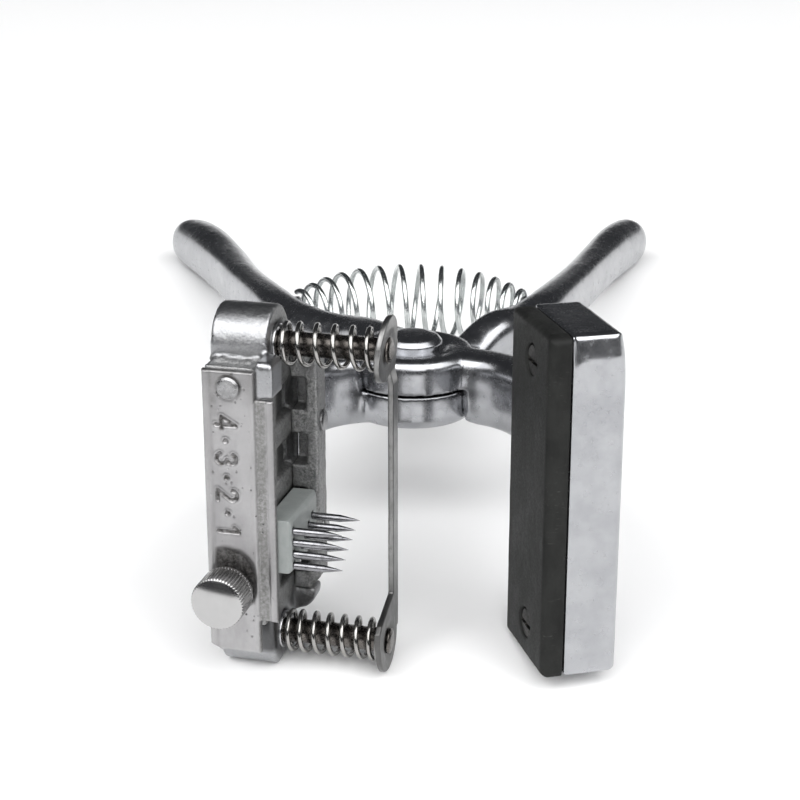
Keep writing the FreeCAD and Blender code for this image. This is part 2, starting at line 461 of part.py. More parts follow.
strip = pad(leaf, "leaf_strip", outline(sketch(leaf, "leaf_face", "YZ_Plane", "leaf_x"), [
    ("rod_y + 1.0", "rod_low"), ("rod_y - paddle_rad + 0.8", "rod_low - 2.9"), ("rod_y - paddle_rad - 0.5", "rod_low + 0.8"), ("rod_y - paddle_rad - 0.5", "rod_low + 3.6"),
    ("rod_y - paddle_rad + 0.9", "rod_low + 4.7"), ("strip_front", "rod_low + 7.4"), ("strip_front", "rod_high - 5.9"), ("rod_y + 1.0", "rod_high"),
    ("strip_back", "rod_high"), ("strip_back", "rod_low")]), "leaf_thick")
for tag, z in (("high", "rod_high"), ("low", "rod_low")):
    disc = pad(leaf, "leaf_paddle_" + tag, ring(sketch(leaf, "leaf_circle_" + tag, "YZ_Plane", "leaf_x"), "rod_y", z, "paddle_rad"), "leaf_thick")
leaf_holes = fuse("leaf_holes", [cyl("leaf_hole_%d" % i, "tenon_rad", "3.0", ("leaf_x - 1.0", "rod_y", z), "+X") for i, z in enumerate(("rod_high", "rod_low"))])
release_plate = cut("release_plate", leaf, leaf_holes)


def washers(name, rad, thick, x):
    out = []
    for i, z in enumerate(("rod_high", "rod_low")):
        out.append(cut("%s_%d" % (name, i), cyl("%s_disc_%d" % (name, i), rad, thick, (x, "rod_y", z), "+X"),
                       cyl("%s_bore_%d" % (name, i), "rod_rad", thick + " + 2.0", (x + " - 1.0", "rod_y", z), "+X")))
    return group(name, out)


spring_cups = washers("spring_cups", "cup_rad", "cup_thick", "leaf_x - cup_thick")
plunger_stop_rings = washers("plunger_stop_rings", "ring_rad", "ring_thick", "lug_recess - ring_gap - ring_thick")


def helix_spring(name, x0, x1, y, z, mean, wire, turns, mirror):
    # round wire coiled about an axis along X, between the planes x0 and x1
    span = (x1 - x0) - wire - 0.1
    path = Part.makeHelix(span / turns, span, mean, 0, mirror)
    start = path.Edges[0].valueAt(path.Edges[0].FirstParameter)
    tangent = path.Edges[0].tangentAt(path.Edges[0].FirstParameter)
    circle = Part.Wire([Part.Circle(start, tangent, wire / 2).toShape()])
    solid = Part.Wire(path.Edges).makePipeShell([circle], True, True)
    f = doc.addObject("Part::Feature", name)
    f.Shape = solid
    f.Placement = Placement(Vector(x0 + wire / 2 + 0.05, y, z), AIM["+X"])
    return f


upper_release_spring = helix_spring("upper_release_spring", D["bush_end"], D["leaf_x"] - D["cup_thick"], D["rod_y"], D["rod_high"], D["rel_mean_rad"], D["rel_wire"], D["rel_turns_upper"], False)
lower_release_spring = helix_spring("lower_release_spring", D["bush_end"], D["leaf_x"] - D["cup_thick"], D["rod_y"], D["rod_low"], D["rel_mean_rad"], D["rel_wire"], D["rel_turns"], False)

# ---------------------------------------------------------------- return spring between the handles, bowed backwards, and its pegs
span, bow, turns = D["ret_half"] - D["ret_wire"] / 2, D["ret_bow"], D["ret_turns"]
steps = int(turns * 12)
cut_off = 0.012  # the wire ends just short of the left seat
line = []
for i in range(steps + 1):
    u = cut_off + (1 - cut_off) * i / steps
    x = span * (2 * u - 1 - 0.27 / math.pi * math.sin(2 * math.pi * u))
    fat = math.sin(math.pi * min(max((u - 0.04) / 0.92, 0), 1)) ** 0.8
    rad = D["ret_end_rad"] + (D["ret_mid_rad"] - D["ret_end_rad"]) * fat
    back = bow * (1 - (x / span) ** 2)
    lean = math.atan2(-2 * bow * x / span, span)
    a = 2 * math.pi * turns * u
    side = Vector(-math.sin(lean), math.cos(lean), 0)
    line.append(Vector(x, D["ret_y"] + back, 0) + side * (rad * math.cos(a)) + Z * (rad * math.sin(a)))
curve = Part.BSplineCurve()
curve.interpolate(line)
edge = curve.toShape()
circle = Part.Wire([Part.Circle(line[0], edge.tangentAt(edge.FirstParameter), D["ret_wire"] / 2).toShape()])
return_spring = doc.addObject("Part::Feature", "return_spring")
return_spring.Shape = Part.Wire([edge]).makePipeShell([circle], True, True)


def peg(name, side):
    return turned(name, [("0", "0 - peg_long"), ("peg_rad", "0 - peg_long"), ("peg_rad", "0.0"), ("seat_rad", "0.0"), ("seat_rad", "seat_high - 0.4"), ("seat_rad - 0.5", "seat_high"), ("0", "seat_high")],
                  (repr(side * D["seat_face"]), "ret_y", "0"), "+X" if side < 0 else "-X")


spring_seat_left = peg("spring_seat_left", -1)
spring_seat_right = peg("spring_seat_right", 1)

# ---------------------------------------------------------------- place every piece: open pose, tilted back onto its feet
doc.recompute()
ANVIL, DIGIT, MIDDLE = Rotation(Z, D["half_angle"]), Rotation(Z, -D["half_angle"]), Rotation()
NODES = [
    ("anvil_half_casting", anvil_half_casting, ANVIL), ("rubber_pad", rubber_pad, ANVIL), ("pad_screws", pad_screws, ANVIL), ("spring_seat_left", spring_seat_left, MIDDLE),
    ("digit_half_casting", digit_half_casting, DIGIT), ("front_plate", front_plate, DIGIT), ("front_plate_rivet", front_plate_rivet, DIGIT),
    ("back_plate", back_plate, DIGIT), ("back_plate_rivets", back_plate_rivets, DIGIT), ("thumb_screw_head", thumb_screw_head, DIGIT), ("thumb_screw_stud", thumb_screw_stud, DIGIT),
    ("digit_block", digit_block, DIGIT), ("digit_needles", digit_needles, DIGIT),
    ("upper_plunger_bush", bushes["upper"], DIGIT), ("lower_plunger_bush", bushes["lower"], DIGIT), ("upper_plunger", plungers["upper"], DIGIT), ("lower_plunger", plungers["lower"], DIGIT),
    ("release_plate", release_plate, DIGIT), ("spring_cups", spring_cups, DIGIT), ("plunger_stop_rings", plunger_stop_rings, DIGIT),
    ("upper_release_spring", upper_release_spring, DIGIT), ("lower_release_spring", lower_release_spring, DIGIT),
    ("spring_seat_right", spring_seat_right, MIDDLE), ("return_spring", return_spring, MIDDLE), ("pivot_rivet", pivot_rivet, MIDDLE), ("pivot_washer", pivot_washer, MIDDLE),
]
tilt = Rotation(Vector(1, 0, 0), -D["tilt_back"])


def points_of(shape):
    return shape.tessellate(0.03)[0]


empty = [label for label, obj, _ in NODES if obj.Shape.isNull() or not obj.Shape.Solids]
if empty:
    raise SystemExit("empty: %s; failed: %s" % (empty, [o.Name for o in doc.Objects if "Invalid" in o.State or "Error" in o.State]))
own = {label: obj.Placement for label, obj, _ in NODES}
low, high = Vector(1e9, 1e9, 1e9), Vector(-1e9, -1e9, -1e9)
feet = {}
for label, obj, turn in NODES:
    move = Placement(Vector(), tilt * turn)
    pts = [move.multVec(p) for p in points_of(obj.Shape)]
    for k in range(3):
        low[k] = min(low[k], min(p[k] for p in pts))
        high[k] = max(high[k], max(p[k] for p in pts))
    front_z, back_z = [p.z for p in pts if p.y < 0], [p.z for p in pts if p.y > 80]
    feet[label] = (round(min(front_z), 3) if front_z else None, round(min(back_z), 3) if back_z else None)
origin = Vector((low.x + high.x) / 2, (low.y + high.y) / 2, low.z)
print("low", low, "high", high, "size", high - low)
print("feet (front, back):", {k: v for k, v in feet.items() if "casting" in k or k == "rubber_pad"})
print("origin in the tilted frame:", origin)
for label, obj, turn in NODES:
    obj.Placement = Placement(-origin, tilt * turn) * own[label]
    obj.Label = label
doc.recompute()

bad = [o.Name for o in doc.Objects if "Invalid" in o.State or "Error" in o.State]
if bad:
    raise SystemExit("failed objects: %s" % bad)
for label, obj, _ in NODES:
    shape = obj.Shape
    if shape.isNull() or not shape.isValid() or not shape.Solids:
        raise SystemExit("bad shape: " + label)
    print("%-24s solids %d  volume %.2f" % (label, len(shape.Solids), shape.Volume))
for label, obj, _ in NODES:
    obj.Shape.exportStep("parts/%s.step" % label)
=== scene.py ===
import bmesh
import bpy
import math
import numpy as np
from mathutils import Matrix, Vector


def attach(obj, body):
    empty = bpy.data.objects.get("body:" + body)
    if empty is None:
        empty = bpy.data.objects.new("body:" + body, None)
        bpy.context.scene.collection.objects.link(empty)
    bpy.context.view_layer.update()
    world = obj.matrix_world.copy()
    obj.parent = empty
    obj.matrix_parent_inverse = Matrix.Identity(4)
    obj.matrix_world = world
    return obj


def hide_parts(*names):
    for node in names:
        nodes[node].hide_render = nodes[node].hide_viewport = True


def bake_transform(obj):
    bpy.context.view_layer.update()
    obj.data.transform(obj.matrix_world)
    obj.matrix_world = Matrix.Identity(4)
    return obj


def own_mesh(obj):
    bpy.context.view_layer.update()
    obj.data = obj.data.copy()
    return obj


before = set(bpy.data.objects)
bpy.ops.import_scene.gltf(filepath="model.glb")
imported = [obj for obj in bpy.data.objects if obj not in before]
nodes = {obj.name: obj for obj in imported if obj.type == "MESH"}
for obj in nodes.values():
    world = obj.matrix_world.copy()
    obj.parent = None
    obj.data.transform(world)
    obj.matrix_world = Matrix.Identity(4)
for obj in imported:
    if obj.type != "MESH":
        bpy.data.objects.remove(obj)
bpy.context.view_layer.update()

# ---------------------------------------------------------------- frames
# Every piece is drawn in millimetres in the plan of the open pose (MID) or of its half's closed pose (ANV, DIG):
# pivot axis = Z, lap plane = Z 0, jaws towards -Y. The matrices take it to the row frame, in metres.
TILT, OPEN = math.radians(8.46), math.radians(14.3)
ORIGIN = Vector((-0.000687, 27.834589, -26.07))


def plan(turn):
    return Matrix.Scale(0.001, 4) @ Matrix.Translation(-ORIGIN) @ Matrix.Rotation(-TILT, 4, "X") @ Matrix.Rotation(turn, 4, "Z")


MID, ANV, DIG = plan(0.0), plan(OPEN), plan(-OPEN)


# ---------------------------------------------------------------- mesh helpers
def new_object(name, mesh):
    ob = bpy.data.objects.new(name, mesh)
    bpy.context.scene.collection.objects.link(ob)
    return ob


def mesh_from(name, verts, faces):
    me = bpy.data.meshes.new(name)
    me.from_pydata([tuple(map(float, v)) for v in verts], [], faces)
    me.validate()
    return me


def tidy(me, sharp=38.0):
    bm = bmesh.new()
    bm.from_mesh(me)
    bmesh.ops.recalc_face_normals(bm, faces=bm.faces)
    bm.to_mesh(me)
    bm.free()
    me.polygons.foreach_set("use_smooth", [True] * len(me.polygons))
    if sharp < 180:
        me.set_sharp_from_angle(angle=math.radians(sharp))
    return me


def place(name, me, matrix, body, slot, mat, *replaced, sharp=38.0, ready=False):
    """Tidies a mesh drawn in millimetres, puts it in the row frame and makes it ride on its body."""
    if not ready:
        tidy(me, sharp)
    me.transform(matrix)
    me.materials.clear()
    me.materials.append(mat)
    me.name = name
    ob = new_object(name, me)
    if body:
        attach(ob, body)
    if replaced:
        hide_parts(*replaced)
    return ob


def join_meshes(name, parts):
    """One mesh out of several; parts are (verts, faces)."""
    verts, faces = [], []
    for v, f in parts:
        n = len(verts)
        verts.extend([tuple(p) for p in v])
        faces.extend([tuple(i + n for i in q) for q in f])
    return mesh_from(name, verts, faces)


def moved(part, matrix):
    v, f = part
    return [matrix @ Vector(p) for p in v], f


def aim(direction, at=(0, 0, 0)):
    """Matrix that takes the Z axis to a direction and the origin to a point."""
    d = Vector(direction).normalized()
    return Matrix.Translation(Vector(at)) @ d.to_track_quat("Z", "Y").to_matrix().to_4x4()


def soften(points, radius, steps=4, closed=False, least=12.0):
    """Rounds the corners of a 2-D outline; radius is one number or one per corner."""
    n, out = len(points), []
    pts = [np.array(p, float) for p in points]
    for i, p in enumerate(pts):
        r = radius[i] if isinstance(radius, (list, tuple)) else radius
        if not closed and i in (0, n - 1) or r <= 0:
            out.append(tuple(p))
            continue
        a, b = pts[i - 1] - p, pts[(i + 1) % n] - p
        la, lb = np.linalg.norm(a), np.linalg.norm(b)
        if la < 1e-9 or lb < 1e-9:
            out.append(tuple(p))
            continue
        a, b = a / la, b / lb
        turn = math.pi - math.acos(max(-1, min(1, float(a @ b))))
        if math.degrees(turn) < least:
            out.append(tuple(p))
            continue
        cut = min(r * math.tan(turn / 2), 0.46 * la, 0.46 * lb)
        r = cut / math.tan(turn / 2)
        s, e = p + a * cut, p + b * cut
        mid = (a + b) / np.linalg.norm(a + b)
        c = p + mid * (r / math.cos(turn / 2))
        u, w = s - c, e - c
        for k in range(steps + 1):
            t = k / steps
            sn = math.sin(turn)
            q = (math.sin((1 - t) * turn) * u + math.sin(t * turn) * w) / sn if sn > 1e-6 else (1 - t) * u + t * w
            out.append(tuple(c + q))
    return out


def lathe(profile, seg=64, ring=False, wobble=None):
    """Turned part: profile is (radius, height) along the part; a ring's profile is a closed loop."""
    verts, rows, faces = [], [], []
    for r, z in profile:
        if r < 1e-6:
            rows.append([len(verts)])
            verts.append((0.0, 0.0, z))
        else:
            row = []
            for k in range(seg):
                a = 2 * math.pi * k / seg
                rr, zz = (r, z) if wobble is None else wobble(r, z, a)
                row.append(len(verts))
                verts.append((rr * math.cos(a), rr * math.sin(a), zz))
            rows.append(row)
    pairs = list(zip(rows, rows[1:])) + ([(rows[-1], rows[0])] if ring else [])
    for a, b in pairs:
        if len(a) == 1 and len(b) == 1:
            continue
        for k in range(seg):
            m = (k + 1) % seg
            if len(a) == 1:
                faces.append((a[0], b[m], b[k]))
            elif len(b) == 1:
                faces.append((a[k], a[m], b[0]))
            else:
                faces.append((a[k], a[m], b[m], b[k]))
    return verts, faces


def tube(points, radius, sides=16, cap=3):
    """Round wire along a line of points, with rounded ends."""
    p = np.array(points, float)
    t = np.gradient(p, axis=0)
    t /= np.linalg.norm(t, axis=1)[:, None]
    up = np.array([0.0, 0.0, 1.0]) if abs(t[0][2]) < 0.9 else np.array([1.0, 0.0, 0.0])
    u = np.cross(t[0], up)
    u /= np.linalg.norm(u)
    frames = []
    for i in range(len(p)):
        if i:
            u = u - t[i] * (u @ t[i])
            u /= np.linalg.norm(u)
        frames.append((u.copy(), np.cross(t[i], u)))
    rings = []
    for j in range(cap, 0, -1):
        a = math.pi / 2 * j / (cap + 0.35)
        rings.append((p[0] - t[0] * radius * 0.6 * math.sin(a), frames[0], radius * math.cos(a)))
    rings += [(p[i], frames[i], radius) for i in range(len(p))]
    for j in range(1, cap + 1):
        a = math.pi / 2 * j / (cap + 0.35)
        rings.append((p[-1] + t[-1] * radius * 0.6 * math.sin(a), frames[-1], radius * math.cos(a)))
    ang = np.linspace(0, 2 * math.pi, sides, endpoint=False)
    verts = []
    for c, (a, b), r in rings:
        verts.extend(c + r * (math.cos(x) * a + math.sin(x) * b) for x in ang)
    faces = []
    for i in range(len(rings) - 1):
        for k in range(sides):
            m = (k + 1) % sides
            faces.append((i * sides + k, i * sides + m, (i + 1) * sides + m, (i + 1) * sides + k))
    faces.append(tuple(range(sides))[::-1])
    last = (len(rings) - 1) * sides
    faces.append(tuple(last + k for k in range(sides)))
    return [tuple(v) for v in verts], faces


def noise3(co, size, seed=0):
    """Smooth value noise at points, from -1 to 1; size is the grain in the points' unit."""
    q = np.asarray(co, float) / size + seed * 17.31
    i = np.floor(q).astype(np.int64)
    f = q - i
    f = f * f * (3 - 2 * f)

    def corner(dx, dy, dz):
        h = (i[:, 0] + dx) * 73856093 ^ (i[:, 1] + dy) * 19349663 ^ (i[:, 2] + dz) * 83492791 ^ (seed * 2654435761 & 0xFFFFFFF)
        h = (h ^ (h >> 13)) * 1274126177 & 0x7FFFFFFF
        return (h % 10007) / 5003.0 - 1.0

    out = 0
    for dx in (0, 1):
        for dy in (0, 1):
            for dz in (0, 1):
                w = (f[:, 0] if dx else 1 - f[:, 0]) * (f[:, 1] if dy else 1 - f[:, 1]) * (f[:, 2] if dz else 1 - f[:, 2])
                out = out + w * corner(dx, dy, dz)
    return out


def get_co(me):
    co = np.zeros(len(me.vertices) * 3)
    me.vertices.foreach_get("co", co)
    return co.reshape(-1, 3)


def set_co(me, co):
    me.vertices.foreach_set("co", np.asarray(co, float).ravel())
    me.update()


def get_normals(me):
    n = np.zeros(len(me.vertices) * 3)
    me.vertices.foreach_get("normal", n)
    return n.reshape(-1, 3)


def relax(me, rounds, factor=0.5, weight=None):
    """Smooths a mesh; weight is a share of the move for each vertex."""
    e = np.zeros(len(me.edges) * 2, np.int64)
    me.edges.foreach_get("vertices", e)
    e = e.reshape(-1, 2)
    n = len(me.vertices)
    a, b = np.concatenate([e[:, 0], e[:, 1]]), np.concatenate([e[:, 1], e[:, 0]])
    count = np.maximum(np.bincount(a, minlength=n), 1)[:, None]
    co = get_co(me)
    w = factor if weight is None else factor * weight[:, None]
    for _ in range(rounds):
        mean = np.stack([np.bincount(a, weights=co[b, k], minlength=n) for k in range(3)], 1) / count
        co = co + w * (mean - co)
    set_co(me, co)
    return me


def ramp(x, a, b):
    t = np.clip((np.asarray(x, float) - a) / (b - a), 0, 1)
    return t * t * (3 - 2 * t)


def node_mesh(node, matrix):
    """The CAD node's mesh in millimetres in the plan of one half, with its split vertices merged."""
    me = nodes[node].data.copy()
    me.transform(matrix.inverted())
    bm = bmesh.new()
    bm.from_mesh(me)
    bmesh.ops.remove_doubles(bm, verts=bm.verts, dist=0.0008)
    bm.to_mesh(me)
    bm.free()
    return me


def remeshed(node, matrix, voxel, rounds):
    """A CAD node as one even skin with softened edges."""
    me = node_mesh(node, matrix)
    ob = new_object("tmp_" + node, me)
    mod = ob.modifiers.new("skin", "REMESH")
    mod.mode = "VOXEL"
    mod.voxel_size = voxel
    mod.adaptivity = 0.0
    bpy.context.view_layer.update()
    skin = bpy.data.meshes.new_from_object(ob.evaluated_get(bpy.context.evaluated_depsgraph_get()))
    bpy.data.objects.remove(ob)
    bpy.data.meshes.remove(me)
    if rounds:
        relax(skin, rounds)
    return skin


# ---------------------------------------------------------------- materials
class Stuff:
    """A node material whose patterns are measured in millimetres on the piece itself."""

    def __init__(self, name, color, rough, metallic=1.0, **sockets):
        self.m = bpy.data.materials.new(name)
        self.m.use_nodes = True
        self.t = self.m.node_tree
        self.t.nodes.clear()
        out = self.add("ShaderNodeOutputMaterial")
        self.b = self.add("ShaderNodeBsdfPrincipled")
        self.t.links.new(self.b.outputs[0], out.inputs[0])
        self.b.inputs["Base Color"].default_value = (*color, 1)
        self.b.inputs["Roughness"].default_value = rough
        self.b.inputs["Metallic"].default_value = metallic
        for k, v in sockets.items():
            self.b.inputs[k.replace("_", " ")].default_value = v
        self.co = self.add("ShaderNodeTexCoord").outputs["Object"]
        self.normal = None

    def add(self, kind, **props):
        n = self.t.nodes.new(kind)
        for k, v in props.items():
            setattr(n, k, v)
        return n

    def put(self, socket, value):
        if hasattr(value, "is_output"):
            self.t.links.new(value, socket)
        else:
            socket.default_value = value

    def space(self, size, stretch=(1, 1, 1), turn=(0, 0, 0), shift=(0, 0, 0)):
        m = self.add("ShaderNodeMapping")
        self.put(m.inputs["Vector"], self.co)
        m.inputs["Rotation"].default_value = [math.radians(a) for a in turn]
        m.inputs["Location"].default_value = shift
        m.inputs["Scale"].default_value = [1000.0 / (size * s) for s in stretch]
        return m.outputs[0]

    def noise(self, size, detail=3.0, rough=0.55, stretch=(1, 1, 1), turn=(0, 0, 0), shift=(0, 0, 0), warp=0.0):
        n = self.add("ShaderNodeTexNoise")
        self.put(n.inputs["Vector"], self.space(size, stretch, turn, shift))
        n.inputs["Scale"].default_value = 1.0
        n.inputs["Detail"].default_value = detail
        n.inputs["Roughness"].default_value = rough
        n.inputs["Distortion"].default_value = warp
        return n.outputs["Fac"]

    def cells(self, size, stretch=(1, 1, 1), shift=(0, 0, 0), feature="F1"):
        n = self.add("ShaderNodeTexVoronoi", feature=feature)
        self.put(n.inputs["Vector"], self.space(size, stretch, (0, 0, 0), shift))
        n.inputs["Scale"].default_value = 1.0
        return n.outputs["Distance"]

    def span(self, value, a, b, lo=0.0, hi=1.0):
        m = self.add("ShaderNodeMapRange", interpolation_type="SMOOTHSTEP")
        self.put(m.inputs["Value"], value)
        m.inputs["From Min"].default_value = a
        m.inputs["From Max"].default_value = b
        m.inputs["To Min"].default_value = lo
        m.inputs["To Max"].default_value = hi
        return m.outputs["Result"]

    def math(self, op, a, b=0.0, clamp=False):
        m = self.add("ShaderNodeMath", operation=op)
        m.use_clamp = clamp
        self.put(m.inputs[0], a)
        self.put(m.inputs[1], b)
        return m.outputs[0]

    def mix(self, fac, a, b):
        m = self.add("ShaderNodeMix", data_type="RGBA")
        self.put(m.inputs[0], fac)
        self.put(m.inputs[6], a if hasattr(a, "is_output") else (*a, 1))
        self.put(m.inputs[7], b if hasattr(b, "is_output") else (*b, 1))
        return m.outputs[2]

    def blend(self, fac, a, b):
        m = self.add("ShaderNodeMix", data_type="FLOAT")
        self.put(m.inputs[0], fac)
        self.put(m.inputs[2], a)
        self.put(m.inputs[3], b)
        return m.outputs[0]

    def attribute(self, name):
        return self.add("ShaderNodeAttribute", attribute_name=name).outputs["Fac"]

    def color(self, value):
        self.put(self.b.inputs["Base Color"], value)

    def roughness(self, value):
        self.put(self.b.inputs["Roughness"], value)

    def bump(self, height, depth, strength=1.0):
        """depth is the height's full range in millimetres."""
        n = self.add("ShaderNodeBump")
        n.inputs["Distance"].default_value = depth / 1000.0
        self.put(n.inputs["Strength"], strength)
        self.put(n.inputs["Height"], height)
        if self.normal is not None:
            self.t.links.new(self.normal, n.inputs["Normal"])
        self.normal = n.outputs[0]
        self.put(self.b.inputs["Normal"], self.normal)


def scratches(s, size, turn, shift, lo=0.62, hi=0.78):
    """Thin straight marks as a mask: narrow across, long along their own X."""
    lines = s.noise(size, 2.0, 0.5, (26, 1, 1), turn, shift, 0.15)
    patch = s.noise(6.0, 2.0, 0.5, shift=(shift[0] + 3.1, shift[1], shift[2]))
    return s.math("MULTIPLY", s.span(lines, lo, hi), s.span(patch, 0.42, 0.62))


def cast_metal(name):
    # polished where the attribute "raw" is 0, as it left the sand where it is 1
    # and darkened where the soot mask is 1: painted shade in the lap joint, in recesses and in the window hollows, and
    # dark specks under the lug
    s = Stuff(name, (0.5, 0.5, 0.51), 0.25)
    raw, soot_and_shade = s.attribute("raw"), s.attribute("soot_and_shade")
    tone = s.noise(7.0, 3.0, 0.6)
    cloud = s.noise(1.6, 4.0, 0.6, shift=(4, 1, 2))
    polished = s.mix(s.span(tone, 0.35, 0.65), (0.365, 0.370, 0.386), (0.420, 0.425, 0.440))
    polished = s.mix(s.span(cloud, 0.62, 0.84, 0.0, 0.12), polished, (0.30, 0.30, 0.315))
    grain = s.noise(0.42, 4.0, 0.65, shift=(2, 7, 1))
    rawtone = s.mix(s.span(grain, 0.34, 0.66), (0.200, 0.201, 0.201), (0.40, 0.402, 0.398))
    rawtone = s.mix(s.span(s.noise(3.5, 3.0, 0.6, shift=(9, 2, 2)), 0.4, 0.7, 0.0, 0.55), rawtone, (0.27, 0.272, 0.276))
    s.color(s.mix(soot_and_shade, s.mix(raw, polished, rawtone), (0.030, 0.030, 0.031)))
    marks = scratches(s, 0.30, (8, 20, 35), (1, 2, 3))
    marks2 = scratches(s, 0.24, (30, -12, -40), (7, 3, 5))
    shine = s.math("ADD", s.span(cloud, 0.30, 0.75, 0.20, 0.29), s.math("MULTIPLY", marks, 0.07))
    shine = s.math("ADD", shine, s.math("MULTIPLY", marks2, 0.06))
    s.roughness(s.blend(raw, shine, s.span(grain, 0.3, 0.7, 0.40, 0.62)))
    s.bump(s.noise(5.6, 1.0, 0.4, shift=(3, 3, 8)), 0.030)
    s.bump(marks, 0.0005)
    s.bump(grain, 0.11, raw)
    s.bump(s.noise(1.3, 3.0, 0.6, shift=(8, 1, 6)), 0.16, raw)
    return s.m


def plate_metal(name):
    # worn satin casting of the front plate; the grime mask is dark oxide together with painted shade, "raw" the coarse
    # flange
    s = Stuff(name, (0.6, 0.6, 0.6), 0.35)
    grime_and_shade, raw = s.attribute("grime_and_shade"), s.attribute("raw")
    tone = s.noise(5.0, 4.0, 0.6, (1, 1, 2.4))
    fine = s.noise(0.5, 4.0, 0.65, shift=(3, 1, 4))
    base = s.mix(s.span(tone, 0.33, 0.67), (0.335, 0.33, 0.335), (0.415, 0.41, 0.415))
    base = s.mix(s.span(fine, 0.62, 0.80, 0.0, 0.28), base, (0.27, 0.265, 0.26))
    base = s.mix(s.math("MULTIPLY", raw, s.span(fine, 0.35, 0.65, 0.35, 1.0)), base, (0.235, 0.235, 0.228))
    pits = s.span(s.cells(1.9, shift=(1, 2, 3)), 0.11, 0.05)
    base = s.mix(s.math("MULTIPLY", pits, s.span(s.noise(7.0, 2.0, 0.5, shift=(1, 8, 1)), 0.50, 0.62)), base, (0.12, 0.12, 0.12))
    dark = s.mix(s.span(fine, 0.35, 0.7), (0.055, 0.052, 0.050), (0.17, 0.165, 0.16))
    s.color(s.mix(grime_and_shade, base, dark))
    rub = scratches(s, 0.26, (0, 90, 12), (2, 4, 1))
    shine = s.math("ADD", s.span(fine, 0.3, 0.7, 0.30, 0.43), s.math("MULTIPLY", rub, -0.10))
    shine = s.math("ADD", shine, s.math("MULTIPLY", raw, 0.10))
    s.roughness(s.math("ADD", shine, s.math("MULTIPLY", grime_and_shade, 0.16)))
    s.bump(s.noise(3.2, 3.0, 0.55, shift=(1, 1, 9)), 0.060)
    s.bump(fine, 0.020)
    s.bump(s.math("MULTIPLY", pits, -1.0), 0.07)
    s.bump(s.noise(0.8, 4.0, 0.6, shift=(2, 2, 2)), 0.11, raw)
    return s.m


def steel(name, color, rough, spread=0.08, vary=0.12, grain=0.35, stretch=(1, 1, 1), turn=(0, 0, 0), depth=0.004, stain=None, stain_at=(0.55, 0.75), pit=0.0, use_soot_and_shade=False):
    s = Stuff(name, color, rough)
    fine = s.noise(grain, 3.0, 0.6, stretch, turn)
    tone = s.noise(2.6, 3.0, 0.6, shift=(3, 5, 1))
    low = tuple(c * (1 - vary) for c in color)
    high = tuple(min(1, c * (1 + vary * 0.6)) for c in color)
    base = s.mix(s.span(tone, 0.35, 0.65), low, high)
    if stain:
        spots = s.noise(0.9, 4.0, 0.62, shift=(6, 1, 4))
        base = s.mix(s.span(spots, stain_at[0], stain_at[1], 0.0, 0.8), base, stain)
    if use_soot_and_shade:
        base = s.mix(s.attribute("soot_and_shade"), base, (0.030, 0.029, 0.028))
    s.color(base)
    s.roughness(s.span(fine, 0.3, 0.7, rough - spread, rough + spread))
    s.bump(fine, depth)
    if pit:
        s.bump(s.noise(0.9, 4.0, 0.6, shift=(1, 4, 4)), pit)
    return s.m


def rubber(name):
    s = Stuff(name, (0.03, 0.03, 0.03), 0.6, 0.0, Specular_IOR_Level=0.15)
    grain = s.noise(0.35, 4.0, 0.65)
    patch = s.noise(5.0, 4.0, 0.62, (1, 1, 1.8), shift=(2, 2, 1))
    base = s.mix(s.span(patch, 0.34, 0.68), (0.0095, 0.0098, 0.0094), (0.019, 0.0196, 0.0186))
    base = s.mix(s.span(s.noise(1.2, 4.0, 0.65, shift=(4, 1, 1)), 0.60, 0.82, 0.0, 0.6), base, (0.036, 0.037, 0.035))
    dust = scratches(s, 0.34, (5, 82, 10), (3, 1, 8), 0.60, 0.74)
    base = s.mix(s.math("MULTIPLY", dust, 0.35), base, (0.075, 0.075, 0.071))
    s.color(base)
    s.roughness(s.math("ADD", s.span(patch, 0.3, 0.7, 0.46, 0.60), s.span(grain, 0.3, 0.7, -0.05, 0.08)))
    s.bump(s.noise(2.8, 3.0, 0.55, shift=(1, 6, 2)), 0.07)
    s.bump(grain, 0.016)
    s.bump(dust, -0.015)
    return s.m


def plastic(name):
    s = Stuff(name, (0.5, 0.52, 0.51), 0.42, 0.0, Specular_IOR_Level=0.5, Subsurface_Weight=0.12, Subsurface_Scale=0.0012)
    s.b.inputs["Subsurface Radius"].default_value = (1.0, 0.9, 0.8)
    cloud = s.noise(2.4, 3.0, 0.55)
    fine = s.noise(0.22, 3.0, 0.6, shift=(2, 1, 3))
    base = s.mix(s.span(cloud, 0.35, 0.65), (0.205, 0.221, 0.216), (0.235, 0.250, 0.246))
    base = s.mix(s.span(s.noise(0.8, 4.0, 0.65, shift=(5, 2, 2)), 0.62, 0.80, 0.0, 0.35), base, (0.165, 0.170, 0.163))
    s.color(base)
    s.roughness(s.span(fine, 0.3, 0.7, 0.36, 0.50))
    s.bump(s.noise(1.9, 2.0, 0.5, shift=(7, 2, 1)), 0.025)
    s.bump(fine, 0.006)
    return s.m


CAST = cast_metal("cast_aluminium")
PLATE = plate_metal("plate_casting")
RUBBER = rubber("black_rubber")
PLASTIC = plastic("grey_plastic")
BRIGHT = steel("bright_steel", (0.52, 0.52, 0.53), 0.22, 0.06, 0.10, 0.30, depth=0.003)
KNURL = steel("knurled_steel", (0.44, 0.437, 0.437), 0.17, 0.03, 0.03, 0.28, depth=0.0015, stain=(0.50, 0.50, 0.50), stain_at=(0.70, 0.90))
RIVET = steel("rivet_steel", (0.33, 0.33, 0.335), 0.32, 0.08, 0.18, 0.35, depth=0.010, stain=(0.16, 0.155, 0.15), pit=0.05)
COIL = steel("spring_steel", (0.35, 0.342, 0.33), 0.18, 0.05, 0.12, 0.30, depth=0.002, stain=(0.13, 0.12, 0.11), stain_at=(0.60, 0.80))
ZINC = steel("zinc_wire", (0.66, 0.685, 0.68), 0.22, 0.06, 0.10, 0.35, depth=0.003, stain=(0.36, 0.38, 0.37), stain_at=(0.58, 0.78))
